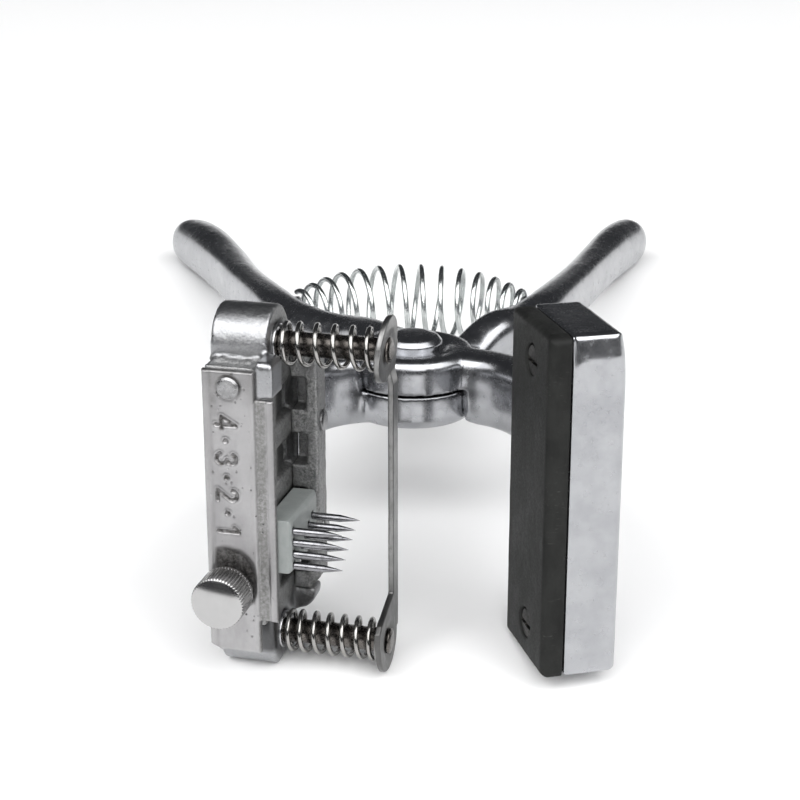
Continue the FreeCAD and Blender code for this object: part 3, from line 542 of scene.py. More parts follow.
DARK = steel("dark_steel", (0.138, 0.127, 0.118), 0.27, 0.08, 0.22, 0.30, depth=0.006, stain=(0.33, 0.31, 0.285), stain_at=(0.58, 0.80))
LEAF = steel("leaf_steel", (0.235, 0.234, 0.232), 0.36, 0.08, 0.14, 0.22, (1, 1, 16), (0, 8, 0), 0.006, stain=(0.165, 0.162, 0.158), stain_at=(0.52, 0.76), use_soot_and_shade=True)
NEEDLE = steel("needle_steel", (0.25, 0.25, 0.262), 0.19, 0.07, 0.15, 0.10, (24, 1, 1), (0, 0, 14.3), 0.004, stain=(0.10, 0.10, 0.105), stain_at=(0.50, 0.70))
BLACKED = steel("blacked_steel", (0.035, 0.034, 0.032), 0.48, 0.08, 0.25, 0.40, depth=0.010, stain=(0.12, 0.118, 0.11), stain_at=(0.62, 0.80))


# ---------------------------------------------------------------- the two castings
def set_mask(me, name, values):
    at = me.attributes.get(name) or me.attributes.new(name, "FLOAT", "POINT")
    at.data.foreach_set("value", np.asarray(values, np.float32))


def spread(me, values, rounds):
    """Blurs a value over the mesh."""
    e = np.zeros(len(me.edges) * 2, np.int64)
    me.edges.foreach_get("vertices", e)
    e = e.reshape(-1, 2)
    n = len(me.vertices)
    a, b = np.concatenate([e[:, 0], e[:, 1]]), np.concatenate([e[:, 1], e[:, 0]])
    count = np.maximum(np.bincount(a, minlength=n), 1)
    for _ in range(rounds):
        values = 0.4 * values + 0.6 * np.bincount(a, weights=values[b], minlength=n) / count
    return values


# the bar of a handle: x, y and z of its middle, width and height
BAR = np.array([
    (10.2, 31.2, 0.5, 9.2, 10.2), (13.4, 37.3, -0.1, 9.4, 11.2), (16.0, 45.3, -0.3, 9.5, 11.6), (17.8, 55.7, -0.5, 9.6, 12.0), (19.3, 67.9, -0.7, 9.7, 12.3),
    (20.6, 80.2, -0.9, 9.7, 12.4), (21.8, 98.0, -1.2, 9.9, 12.2), (23.0, 115.0, -1.5, 10.4, 12.0), (24.6, 129.0, -1.9, 11.2, 12.0), (25.6, 134.8, -2.1, 10.6, 11.4),
    (26.2, 138.4, -2.2, 8.0, 8.8), (26.5, 140.0, -2.2, 4.4, 4.8), (26.55, 140.35, -2.2, 1.4, 1.5)])


def buff_handle(co, side, wider):
    """The bar is a little flatter on its outer side, waisted in the middle and full and round at its end."""
    y = co[:, 1]
    x0, z0, w, h = (np.interp(y, BAR[:, 1], BAR[:, k]) for k in (0, 2, 3, 4))
    s, t = (co[:, 0] - side * x0) * side, co[:, 2] - z0
    u, v = np.abs(s / (w / 2)) + 1e-4, np.abs(t / (h / 2)) + 1e-4
    squarer = (u ** 2.2 + v ** 2.2) ** (1 / 2.2) / (u ** 2.9 + v ** 2.9) ** (1 / 2.9)
    on = ramp(y, 34.0, 58.0) * (1 - ramp(y, 96.0, 122.0)) * (0.25 + 0.75 * ramp(s / w, -0.15, 0.25))
    k = 1 + (squarer - 1) * on
    waist = ramp(y, 48.0, 78.0) * (1 - ramp(y, 88.0, 118.0))
    end = ramp(y, 104.0, 124.0) * (1 - ramp(y, 133.0, 139.5))
    inner = 1 + wider * ramp(-s / w, -0.1, 0.25) * ramp(y, 72.0, 108.0) * (1 - ramp(y, 133.0, 139.5)) - 0.16 * waist * ramp(s / w, 0.0, 0.3)
    co[:, 0], co[:, 2] = side * (x0 + s * k * inner), z0 + t * k * (1 - 0.11 * waist + 0.09 * end)


def casting_skin(node, matrix, side, wider):
    skin = remeshed(node, matrix, 0.39, 4)
    co = get_co(skin)
    rad = np.hypot(co[:, 0], co[:, 1])
    behind = ramp(co[:, 1], -45.5, -38.0)
    dish = (1 - ramp(rad, 7.6, 9.5)) * ramp(co[:, 2], 3.0, 5.0)
    joint = (1 - ramp(np.abs(co[:, 2]), 0.7, 1.8)) * (1 - ramp(rad, 15.0, 19.0))
    relax(skin, 20, weight=behind * (1 - 0.85 * dish) * (1 - joint))
    # the handles are worn round by buffing
    relax(skin, 26, weight=ramp(co[:, 1], 16.0, 34.0))
    # the curved walls beside the bosses run close to them
    co, nor = get_co(skin), get_normals(skin)
    rad = np.hypot(co[:, 0], co[:, 1])
    outward = (co[:, :2] * nor[:, :2]).sum(1) / np.maximum(rad, 1e-6)
    close = (1 - ramp(np.abs(rad - 13.4), 0.45, 1.8)) * ramp(-outward, 0.15, 0.55)
    co[:, :2] -= (1.0 * close / np.maximum(rad, 1e-6))[:, None] * co[:, :2]
    buff_handle(co, side, wider)
    set_co(skin, co)
    return skin


def round_edge(co, a, at_a, out_a, b, at_b, out_b, r, where):
    """Rounds the edge where two faces meet, face a at at_a (outward out_a) and face b at at_b."""
    u, v = out_a * (co[:, a] - at_a) + r, out_b * (co[:, b] - at_b) + r
    d = np.hypot(u, v)
    k = np.where((u > 0) & (v > 0) & (d > r), where * (1 - r / np.maximum(d, 1e-6)), 0)
    co[:, a] -= out_a * u * k
    co[:, b] -= out_b * v * k


def in_the_lap(co, side):
    """Painted shade in the joint between the halves: strongest in the gap, fading on the rims beside it."""
    rad = np.hypot(co[:, 0], co[:, 1])
    flat = (1 - ramp(np.abs(co[:, 2]), 0.25, 1.5)) * (1 - ramp(rad, 14.5, 19.0))
    return np.clip(0.50 * flat, 0, 0.9)


anvil_skin = casting_skin("anvil_half_casting", ANV, -1, 0.34)
co, nor = get_co(anvil_skin), get_normals(anvil_skin)
# the block was ground flat by hand: its edges waver a little, its faces are very slightly crowned
on_block = (1 - ramp(co[:, 1], -49.0, -46.0)) * ramp(co[:, 0], 8.2, 9.2)
co = co - nor * (on_block * 0.05 * (noise3(co, 3.4, 3) * 0.5 + 0.5))[:, None]
clear = ramp(np.abs(co[:, 2]), 9.0, 12.0) * (1 - ramp(co[:, 1], -48.3, -48.1)) * ramp(co[:, 0], 8.4, 8.7)
round_edge(co, 1, -68.7, -1, 2, 27.9, 1, 0.7, ramp(co[:, 0], 8.4, 8.7))
round_edge(co, 0, 18.4, 1, 1, -48.4, 1, 3.4, clear)
round_edge(co, 0, 18.4, 1, 1, -68.7, -1, 1.0, clear)
round_edge(co, 0, 18.4, 1, 2, 27.9, 1, 1.0, clear)
# its front and outer faces lean back towards the top, where it was held to the wheel
held = ramp(co[:, 0], 8.7, 9.4) * ramp(co[:, 2], 12.0, 13.0)
begins = 23.9 - 1.4 * np.exp(-((co[:, 0] - 8.7) / 1.5) ** 2)
lean = held * np.clip(co[:, 2] - begins, 0, None) ** 1.15
co[:, 1] += 0.125 * lean * np.clip((-56.0 - co[:, 1]) / 12.7, 0, 1)
lean = held * (np.clip(co[:, 2] - 17.5, 0, None) / 10.4) ** 2.0
co[:, 0] -= 0.85 * lean * np.clip((co[:, 0] - 9.4) / 9.0, 0, 1)
set_co(anvil_skin, co)
co = get_co(anvil_skin)
set_mask(anvil_skin, "raw", np.zeros(len(co)))
set_mask(anvil_skin, "soot_and_shade", spread(anvil_skin, in_the_lap(co, 1), 2))
anvil_half = place("anvil_half", anvil_skin, ANV, "anvil_half", "polished_cast", CAST, "anvil_half_casting", sharp=180)

digit_skin = casting_skin("digit_half_casting", DIG, 1, 0.0)
co, nor = get_co(digit_skin), get_normals(digit_skin)
x, y, z = co[:, 0], co[:, 1], co[:, 2]
jaw = 1 - ramp(y, -47.6, -46.2)
from_rod = np.hypot(y + 57.0, z - 23.7)
on_lug = ramp(from_rod, 5.6, 6.0) * (1 - ramp(from_rod, 6.6, 6.9)) * ramp(z, 21.6, 22.6) * (1 - ramp(x, -9.4, -9.1))
under_lug = np.exp(-(((y + 63.4) / 0.62) ** 2 + ((z - 22.2) / 0.6) ** 2)) * (1 - ramp(x, -9.3, -8.9))
soot_and_shade = in_the_lap(co, -1)
# painted shadow on the recessed lug face beside the lower part of the front plate, below its flange
soot_and_shade = np.maximum(soot_and_shade, 0.8 * (1 - ramp(x, -8.0, -6.5)) * ramp(x, -12.2, -11.2) * ramp(y, -67.2, -66.4) * (1 - ramp(y, -62.0, -60.0)) * ramp(z, -31.4, -30.2) * (1 - ramp(z, -24.4, -23.4)))
# hollows in the channel floor that run into the windows
hollow = np.zeros(len(co))
for zc in (-17.5, -7.4, 2.7, 12.8):
    hollow = np.maximum(hollow, (1 - ramp(np.abs(z - zc), 2.5, 3.1)) * ramp(y, -61.5, -54.0) * (1 - ramp(y, -51.2, -50.4)) * (1 - ramp(np.abs(x + 8.9), 0.5, 0.9)) * ramp(nor[:, 0], 0.5, 0.8))
# painted shade in the hollows, so the windows look deep
soot_and_shade = np.maximum(soot_and_shade, 0.60 * ramp(hollow, 0.05, 0.9))
soot_and_shade = np.maximum(soot_and_shade, ramp(under_lug, 0.15, 0.6) * ramp(noise3(co, 0.62, 9), 0.0, 0.30))
channel = ramp(x, -10.2, -9.3)
low_end = 1 - ramp(z, -25.5, -23.0)
left_side = 1 - ramp(x, -18.4, -17.4)
raw = jaw * np.maximum.reduce([np.full(len(co), 0.55), channel, under_lug, 0.9 * ramp(z, 20.0, 22.0)])
raw = raw * (1 - 0.50 * on_lug) * (1 - 0.45 * low_end) * (1 - 0.5 * left_side)
raw = np.maximum(raw, under_lug)
# the closing lip and the side below it are smoother
raw = raw * (1 - 0.72 * ramp(x, -9.8, -9.3) * ramp(z, 15.8, 16.8) * (1 - ramp(y, -62.0, -58.0)))
# a shallow pocket in the ledge below the upper lug
pocket = ramp(x, -17.9, -17.1) * (1 - ramp(x, -11.4, -10.5)) * ramp(y, -66.9, -66.2) * (1 - ramp(y, -64.9, -64.2)) * ramp(z, 21.3, 21.8) * ramp(nor[:, 2], 0.3, 0.7)
move = nor * (raw * jaw * (0.045 * noise3(co, 0.9, 5) + 0.06 * noise3(co, 2.3, 6)))[:, None]
move += nor * (under_lug * (0.50 * np.maximum(noise3(co, 0.62, 8), -0.35) + 0.10))[:, None]
move[:, 2] -= pocket * 0.55
move[:, 0] -= hollow * 1.2
set_co(digit_skin, co + move)
set_mask(digit_skin, "raw", spread(digit_skin, raw, 2))
set_mask(digit_skin, "soot_and_shade", spread(digit_skin, soot_and_shade, 2))
digit_half = place("digit_half", digit_skin, DIG, "digit_half", "polished_cast", CAST, "digit_half_casting", sharp=180)


# ---------------------------------------------------------------- front plate: one surface with its rims, flange, numbers and worn places
def stroke_distance(px, pz, strokes):
    d = np.full(px.shape, 99.0)
    for line in strokes:
        for (ax, az), (bx, bz) in zip(line, line[1:]):
            ux, uz = bx - ax, bz - az
            t = np.clip(((px - ax) * ux + (pz - az) * uz) / max(ux * ux + uz * uz, 1e-9), 0, 1)
            d = np.minimum(d, np.hypot(px - ax - t * ux, pz - az - t * uz))
    return d


def arc(cx, cy, rx, ry, a, b, n=10):
    return [(cx + rx * math.cos(math.radians(a + (b - a) * k / n)), cy + ry * math.sin(math.radians(a + (b - a) * k / n))) for k in range(n + 1)]


# plain position numbers for the four places of the channel, in a box 2 wide and 3.4 high
NUMBERS = {
    "1": [[(0.4, 2.7), (1.15, 3.4), (1.15, 0.0)]],
    "2": [arc(1.0, 2.45, 0.85, 0.85, 170, -40) + [(0.15, 0.0), (1.95, 0.0)]],
    "3": [arc(0.95, 2.55, 0.8, 0.78, 160, -75) + arc(0.95, 0.88, 0.92, 0.88, 80, -165)],
    "4": [[(1.45, 0.0), (1.45, 3.4), (0.05, 1.05), (2.05, 1.05)]],
}
PX0, PX1, PZ0, PZ1 = -18.6, -6.5, -28.5, 21.8
xs = np.unique(np.concatenate([np.linspace(PX0, -9.6, 84), np.linspace(-9.6, PX1, 30)]))
zs = np.unique(np.concatenate([np.linspace(PZ0, -22.6, 43), np.linspace(-22.6, 17.0, 364), np.linspace(17.0, PZ1, 55)]))
GX, GZ = np.meshgrid(xs, zs, indexing="ij")
wide = np.minimum(np.minimum(GX - PX0, PX1 - GX), np.minimum(GZ + 22.6, 17.0 - GZ))
tall = np.minimum(np.minimum(GX - PX0, -9.6 - GX), np.minimum(GZ - PZ0, PZ1 - GZ))
corner = (GX - PX0 + 1.7 * (GZ - PZ0) - 1.7) / math.hypot(1.0, 1.7)
edge = np.minimum(np.maximum(wide, tall), corner)
flat3 = np.stack([GX.ravel(), GZ.ravel(), np.zeros(GX.size)], 1)


def grain(size, seed):
    return noise3(flat3, size, seed).reshape(GX.shape)


panel = 1 - ramp(GX, -9.95, -9.35)
high = 0.52 + 0.53 * panel
high += 0.13 * (1 - ramp(GX, -17.75, -17.25)) * panel                        # left rim
high += 0.07 * ramp(GX, -10.6, -10.2) * (1 - ramp(GX, -9.9, -9.6))            # right rim of the panel
high += 0.16 * ramp(GX, -7.9, -7.5) * (1 - ramp(GX, -6.75, -6.5))             # rolled lip of the flange
high += (1 - panel) * (1 - ramp(GX, -8.1, -7.7)) * (0.06 * grain(0.55, 11) + 0.05 * grain(1.4, 12))
to_rivet = np.hypot(GX + 14.0, GZ - 19.0)
high -= 0.05 * (1 - ramp(to_rivet, 2.1, 2.6))
# the worn hollow around the thumb screw: rubbed round by the knob, soft at its edge
turned_marks = np.stack([np.degrees(np.arctan2(GZ + 16.8, GX + 14.8)).ravel() * 0.11, np.hypot(GX + 14.8, GZ + 16.8).ravel() * 0.4, np.zeros(GX.size)], 1)
turned_marks = noise3(turned_marks, 1.0, 23).reshape(GX.shape)
scoop = np.hypot((GX + 14.8) / 5.35, (GZ + 14.9) / 6.05) + 0.03 * turned_marks
# painted shadow of the knob on the plate above and beside it, with tarnish streaked by the turned marks
knob_shadow_and_tarnish = (1 - ramp(scoop, 0.80, 1.06)) * ramp(GX, -17.3, -16.9)
scoop = (1 - ramp(scoop, 0.74, 1.02)) * ramp(GX, -17.3, -16.75)
high -= 0.46 * scoop
high += scoop * (0.025 * grain(0.7, 21) + 0.05 * turned_marks)
mark = np.full(GX.shape, 99.0)
for digit, zc in (("4", 12.9), ("3", 6.5), ("2", 0.1), ("1", -6.3)):
    lines = [[(-16.4 + py * 1.04, zc + 1.05 - px) for px, py in line] for line in NUMBERS[digit]]
    mark = np.minimum(mark, stroke_distance(GX, GZ, lines))
for zc in (9.75, 3.3, -3.1):
    mark = np.minimum(mark, stroke_distance(GX, GZ, [[(-14.75, zc), (-14.65, zc)]]) - 0.10)
letters = (1 - ramp(mark + 0.07 * grain(0.35, 31), 0.17, 0.36)) * (1 - scoop)
high -= 0.24 * letters - 0.07 * np.exp(-((mark - 0.52) / 0.16) ** 2)
rng = np.random.default_rng(7)
pits = np.zeros(GX.shape)
for _ in range(34):
    cx, cz, r = rng.uniform(-17.2, -10.2), rng.uniform(-25.5, 21.5), rng.uniform(0.10, 0.26)
    d = np.hypot(GX - cx, (GZ - cz) * rng.uniform(0.6, 1.0)) / r
    pits = np.maximum(pits, (1 - ramp(d, 0.55, 1.05)) * rng.uniform(0.5, 1.0))
high -= 0.13 * pits
high += 0.018 * grain(3.6, 41) + 0.008 * grain(0.8, 42)
R = 0.5
inside = np.clip(edge, 0, R)
high -= np.minimum(0.42, R - np.sqrt(np.maximum(R * R - (R - inside) ** 2, 0)))
high = np.clip(high, 0.12, 1.24)

bm = bmesh.new()
keep = {}
nx, nz = len(xs), len(zs)
for i in range(nx - 1):
    for k in range(nz - 1):
        cx, cz = (xs[i] + xs[i + 1]) / 2, (zs[k] + zs[k + 1]) / 2
        if cx > -9.6 and not -22.6 < cz < 17.0:
            continue
        if cx - PX0 + 1.7 * (cz - PZ0) < 1.7:
            continue
        quad = []
        for a, b in ((i, k), (i + 1, k), (i + 1, k + 1), (i, k + 1)):
            if (a, b) not in keep:
                v = bm.verts.new((xs[a], -67.5 - high[a, b], zs[b]))
                keep[(a, b)] = v
            quad.append(keep[(a, b)])
        bm.faces.new(quad)
# the stepped corner is pulled onto the slope
for (a, b), v in keep.items():
    over = 1.7 - (xs[a] - PX0 + 1.7 * (zs[b] - PZ0))
    if v.is_boundary and abs(over) < 0.34 and xs[a] < -15.5 and zs[b] < -24.0:
        v.co.x += over / 3.89
        v.co.z += over * 1.7 / 3.89
rim = [e for e in bm.edges if e.is_boundary]
made = bmesh.ops.extrude_edge_only(bm, edges=rim)["geom"]
for v in [g for g in made if isinstance(g, bmesh.types.BMVert)]:
    v.co.y = -67.5
back = [e for e in bm.edges if e.is_boundary]
bmesh.ops.holes_fill(bm, edges=back, sides=0)
plate_mesh = bpy.data.meshes.new("front_plate")
bm.to_mesh(plate_mesh)
bm.free()
tidy(plate_mesh, 50)
co = get_co(plate_mesh)
gx, gz = co[:, 0], co[:, 2]


def at_grid(field):
    i = np.clip(np.searchsorted(xs, gx), 0, nx - 1)
    k = np.clip(np.searchsorted(zs, gz), 0, nz - 1)
    return field[i, k]


speckle = 0.75 + 0.45 * grain(0.5, 51)
# the dark mask: oxide in the pits, numbers and edges, with painted shade and shadow given below
dirt_and_shade = knob_shadow_and_tarnish * (0.86 + 0.22 * turned_marks) + 0.55 * pits + (0.80 * letters + 0.22 * (1 - ramp(mark, 0.3, 0.8))) * speckle
# a ring of dirt round the rivet, with painted shade making it heavier on its upper right side
dirt_and_shade += 0.55 * np.exp(-((to_rivet - 2.05) / 0.22) ** 2) * (0.35 + 0.65 * ramp(GX + GZ - 5.0, -1.0, 1.5))
# painted shade below the upper lug: the panel darkens towards its top, with a darker patch at its upper left
dirt_and_shade += 0.34 * ramp(GZ, 15.0, 21.0) * (0.8 + 0.3 * grain(2.0, 52)) * panel + 0.42 * np.exp(-((GX + 16.6) / 0.9) ** 2 - ((GZ - 16.3) / 2.6) ** 2) * (0.8 + 0.4 * grain(0.9, 53))
# painted shade in the crease inside the left rim, and a painted shadow line along the panel's right edge
dirt_and_shade += panel * (0.20 * np.exp(-((GX + 17.1) / 0.3) ** 2) * (0.8 + 0.5 * grain(1.4, 54)) + 0.40 * np.exp(-((GX + 9.55) / 0.14) ** 2))
dirt_and_shade += 0.35 * (1 - ramp(edge, 0.02, 0.22)) * ramp(GZ, -28.6, -20.0) * speckle
dirt_and_shade = np.clip(dirt_and_shade, 0, 1)
set_mask(plate_mesh, "grime_and_shade", at_grid(dirt_and_shade))
set_mask(plate_mesh, "raw", np.clip(at_grid((1 - panel) * (1 - ramp(GX, -8.1, -7.6)) + 0.35 * (1 - ramp(edge, 0.1, 0.5))), 0, 1))
front_plate = place("front_plate_casting", plate_mesh, DIG, "digit_half", "rough_cast", PLATE, "front_plate", ready=True)


# ---------------------------------------------------------------- back plate, rubber pad, digit, release plate
def worn_skin(node, matrix, voxel, rounds, *bumps):
    """A CAD node with softened edges and an uneven cast or moulded surface; bumps are (height, grain, seed)."""
    skin = remeshed(node, matrix, voxel, rounds)
    co, nor = get_co(skin), get_normals(skin)
    move = sum(h * noise3(co, g, s) for h, g, s in bumps)
    set_co(skin, co + nor * np.asarray(move)[:, None])
    return skin


wall_skin = worn_skin("back_plate", DIG, 0.23, 4, (0.045, 0.8, 61), (0.05, 2.2, 62))
set_mask(wall_skin, "raw", np.full(len(wall_skin.vertices), 1.0))
place("back_plate_casting", wall_skin, DIG, "digit_half", "rough_cast", CAST, "back_plate", sharp=180)

pad_skin = remeshed("rubber_pad", ANV, 0.30, 5)
co, nor = get_co(pad_skin), get_normals(pad_skin)
free = 1 - ramp(co[:, 0], 8.0, 8.5)
side = ramp(np.abs(nor[:, 0]), 0.6, 0.2)
move = free * (0.035 * noise3(co, 5.5, 71) + 0.016 * noise3(co, 1.1, 72)) - 0.02
move = move + side * (0.05 * noise3(co, 1.7, 73) * ramp(co[:, 0], 7.4, 8.4) - 0.03 * ramp(co[:, 0], 8.2, 8.6))
co = co + nor * move[:, None]
round_edge(co, 1, -68.7, -1, 2, 27.9, 1, 1.7, np.ones(len(co)))
round_edge(co, 1, -48.4, 1, 2, 27.9, 1, 1.2, np.ones(len(co)))
set_co(pad_skin, co)
place("rubber_face_pad", pad_skin, ANV, "anvil_half", "rubber", RUBBER, "rubber_pad", sharp=180)

block_skin = worn_skin("digit_block", DIG, 0.15, 3, (0.012, 2.5, 81))
place("digit_moulding", block_skin, DIG, "digit", "grey_plastic", PLASTIC, "digit_block", sharp=180)

leaf_skin = worn_skin("release_plate", DIG, 0.165, 3, (0.012, 3.0, 91), (0.006, 0.9, 92))
co = get_co(leaf_skin)
for zc in (23.7, -29.1):
    r = np.hypot(co[:, 1] + 57.0, co[:, 2] - zc)
    co[:, 0] -= 0.16 * (1 - ramp(r, 2.3, 4.2)) * ramp(co[:, 0], 9.4, 9.9)
# the upper disc leans a few degrees, as a hand-bent strip does
co[:, 0] += 0.105 * (co[:, 2] - 23.7) * ramp(co[:, 2], 16.5, 19.5)
set_co(leaf_skin, co)
# darker towards the bottom of the strip and round the lower disc
set_mask(leaf_skin, "soot_and_shade", 0.55 * (1 - ramp(co[:, 2], -26.0, -14.0)) + 0.3 * (1 - ramp(np.hypot(co[:, 1] + 57.0, co[:, 2] + 29.1), 2.2, 3.6)))
place("release_leaf", leaf_skin, DIG, "ear_release", "bright_steel", LEAF, "release_plate", sharp=180)

# ---------------------------------------------------------------- turned and riveted parts
HEAD = [(2.9, -0.05), (5.97, -0.05), (5.97, 1.75), (5.05, 2.75), (3.2, 3.32), (0.0, 3.5)]
rivet = [(0, -9.4), (2.6, -9.35), (4.5, -8.8), (5.15, -7.82), (2.98, -7.82), (2.98, 6.32)] + [(r, 6.4 + h) for r, h in HEAD[1:]]
place("pivot_rivet_turned", join_meshes("pivot", [lathe(soften(rivet, [0, .5, .7, .25, .1, .1, .1, .9, 1.3, 2.5, 0], 6), 128)]), MID, "digit_half", "polished_cast", CAST, "pivot_rivet", sharp=60)
ring_profile = soften([(3.04, -7.78), (6.98, -7.78), (6.98, -7.02), (3.04, -7.02)], 0.18, 4, closed=True)
place("pivot_washer_turned", join_meshes("washer", [lathe(ring_profile, 96, ring=True)]), MID, "digit_half", "bright_steel", BRIGHT, "pivot_washer")


def peened(seed, tilt=0.10):
    """A hammered rivet head: not quite round, a little lower to one side."""
    def wobble(r, z, a):
        rr = r * (1 + 0.025 * math.sin(2 * a + seed) + 0.012 * math.sin(3 * a + 2.1 * seed))
        return rr, z + (tilt * r / 1.9 * math.sin(a + seed * 1.7) if z > 0.3 else 0.0)
    return wobble


small_head = soften([(1.18, -5.9), (1.18, -0.02), (1.9, -0.02), (1.9, 0.34), (1.45, 0.60), (0.75, 0.64), (0.0, 0.60)], [0, 0, .05, .12, .3, .3, 0], 5)
place("front_plate_rivet_head", join_meshes("r", [moved(lathe([(0, -5.9)] + small_head, 56, wobble=peened(1.0, 0.07)), aim((0, -1, 0), (-14.0, -68.60, 19.0)))]), DIG, "digit_half", "rough_cast", RIVET, "front_plate_rivet", sharp=50)
heads = [moved(lathe([(0, -8.5)] + [(r, h if h > -1 else -8.5) for r, h in small_head], 48, wobble=peened(s, 0.05)), aim((1, 0, 0), (-4.0, -48.9, z))) for s, z in ((2.2, 7.6), (4.0, -12.5))]
place("back_plate_rivet_heads", join_meshes("r", heads), DIG, "digit_half", "rough_cast", RIVET, "back_plate_rivets", sharp=50)

# knurled clamping screw: straight ridges between a plain collar and a crowned, polished face
TEETH, STEPS = 52, 8


def knurl(r, z, a):
    cut = ramp(z, 0.95, 1.25) * (1 - ramp(z, 5.75, 5.95))
    phase = (a * TEETH / (2 * math.pi)) % 1.0
    ridge = abs(phase - 0.5) * 2
    depth = 0.25 * float(ramp(ridge, 0.30, 1.0)) * (0.88 + 0.12 * math.sin(7 * a) * math.sin(3 * a + 1))
    return (r - depth * float(cut) if r > 4.0 else r), z


screw = [(0, 0.02), (3.9, 0.02), (3.98, 0.36), (4.35, 0.42), (4.56, 0.62), (4.58, 0.95), (4.6, 1.05)]
screw += [(4.6, 1.05 + 0.2 * k) for k in range(1, 24)] + [(4.58, 5.78), (4.52, 5.84), (4.45, 5.86)]
screw += [(r, 6.6 - 0.70 * (r / 4.4) ** 2.3) for r in np.linspace(4.4, 0.0, 22)]
place("thumb_screw_knob", join_meshes("k", [moved(lathe(screw, TEETH * STEPS, wobble=knurl), aim((0, -1, 0), (-14.8, -69.2, -16.8)))]), DIG, "thumb_screw", "bright_steel", KNURL, "thumb_screw_head", sharp=32)


def thread(r, z, a):
    if r < 1.2 or z < 0.5 or z > 9.0:
        return r, z
    t = (z / 0.6 + a / (2 * math.pi)) % 1.0
    return r - 0.24 * abs(2 * t - 1), z


stud = [(0, 0.0), (1.1, 0.0), (1.35, 0.3)] + [(1.58, 0.5 + 0.075 * k) for k in range(0, 150)] + [(1.58, 11.75), (0, 11.75)]
place("thumb_screw_thread", join_meshes("s", [moved(lathe(stud, 40, wobble=thread), aim((0, -1, 0), (-14.8, -57.5, -16.8)))]), DIG, "thumb_screw", "bright_steel", BRIGHT, "thumb_screw_stud", sharp=50)

# needles: drawn wire, ground to slightly hollow points
spots = [(-65.7, -12.65 + 2.083 * k) for k in range(4)] + [(-65.7 + 2.14 * k, -12.65 + 0.96 * k) for k in range(1, 6)]
rng = np.random.default_rng(11)
pins = []
for yy, zz in spots:
    tip, cone = 4.4 - rng.uniform(0.0, 0.25), rng.uniform(3.3, 3.7)
    shape = [(0, -7.2), (0.645, -7.2), (0.645, tip - cone - 0.12), (0.628, tip - cone + 0.1)]
    shape += [(0.632 * (1 - t) ** 0.86 + 0.012, tip - cone * (1 - t)) for t in np.linspace(0.08, 0.97, 14)] + [(0.012, tip - 0.02), (0, tip)]
    lean = aim((1, rng.uniform(-0.010, 0.010), rng.uniform(-0.010, 0.010)), (0, 0, 0))
    pins.append(moved(moved(lathe(shape, 32), Matrix.Translation((0, 0, 4.2))), Matrix.Translation((-4.2, yy, zz)) @ lean))
place("tattoo_needles", join_meshes("n", pins), DIG, "digit", "needle_steel", NEEDLE, "digit_needles", sharp=60)

# ear release: bushes, plungers with riveted tenons, cups and stop rings
for tag, zz in (("upper", 23.7), ("lower", -29.1)):
    tube_profile = soften([(2.15, 0.0), (3.28, 0.0), (3.28, 7.6), (2.15, 7.6)], [.12, .1, .25, .22], 4, closed=True)
    place(tag + "_bush", join_meshes("b", [moved(lathe(tube_profile, 72, ring=True), aim((1, 0, 0), (-16.3, -57.0, zz)))]), DIG, "digit_half", "bright_steel", BRIGHT, tag + "_plunger_bush")
    rod = [(0, 0.0), (2.1, 0.0), (2.1, 27.38), (1.5, 27.38), (1.5, 28.38), (2.25, 28.38), (2.22, 28.72), (1.5, 28.98), (0, 28.98)]
    rod = soften(rod, [0, .45, .12, 0, 0, .1, .25, .3, 0], 5)
    rough_rod = peened(1.3 if tag == "upper" else 3.1, 0.06)

    def rod_shape(r, z, a, w=rough_rod):
        return w(r, z, a) if z > 28.5 else (r - (0.035 if abs((z * 0.9) % 1.0 - 0.5) < 0.06 else 0.0), z)

    place(tag + "_plunger_rod", join_meshes("p", [moved(lathe(rod, 64, wobble=rod_shape), aim((1, 0, 0), (-18.4, -57.0, zz)))]), DIG, "ear_release", "dark_steel", DARK, tag + "_plunger", sharp=50)
cup = soften([(2.12, 0.30), (3.2, 0.28), (3.75, 0.0), (4.18, 0.02), (4.18, 0.5), (3.9, 0.68), (2.12, 0.68)], [.08, .3, .2, .12, .15, .15, .08], 4, closed=True)
place("spring_cup_pair", join_meshes("c", [moved(lathe(cup, 72, ring=True), aim((1, 0, lean), (at, -57.0, zz))) for at, zz, lean in ((8.6, 23.7, -0.105), (8.3, -29.1, 0.0))]), DIG, "ear_release", "bright_steel", LEAF, "spring_cups")
snap = soften([(2.1, 0.0), (3.58, 0.0), (3.58, 1.0), (2.1, 1.0)], [.1, .28, .28, .1], 4, closed=True)
place("stop_ring_pair", join_meshes("c", [moved(lathe(snap, 64, ring=True), aim((1, 0, 0), (-17.5, -57.0, zz))) for zz in (23.7, -29.1)]), DIG, "ear_release", "bright_steel", BRIGHT, "plunger_stop_rings")

# pegs of the return spring, screws of the rubber pad
seat = soften([(0, -4.0), (1.98, -4.0), (1.98, 0.0), (3.28, 0.0), (3.28, 0.95), (2.7, 1.45), (0, 1.5)], [0, .3, 0, .12, .3, .5, 0], 5)
for tag, side, body in (("left", -1, "anvil_half"), ("right", 1, "digit_half")):
    place("spring_peg_" + tag, join_meshes("q", [moved(lathe(seat, 72), aim((-side, 0, 0), (side * 26.2, 50.0, 0)))]), MID, body, "bright_steel", BRIGHT, "spring_seat_" + tag)


def slotted(r, z, a):
    across = abs(r * math.sin(a))
    return r, z + (0.42 if z < 0.45 and across < 0.36 and r < 2.4 else 0.0)


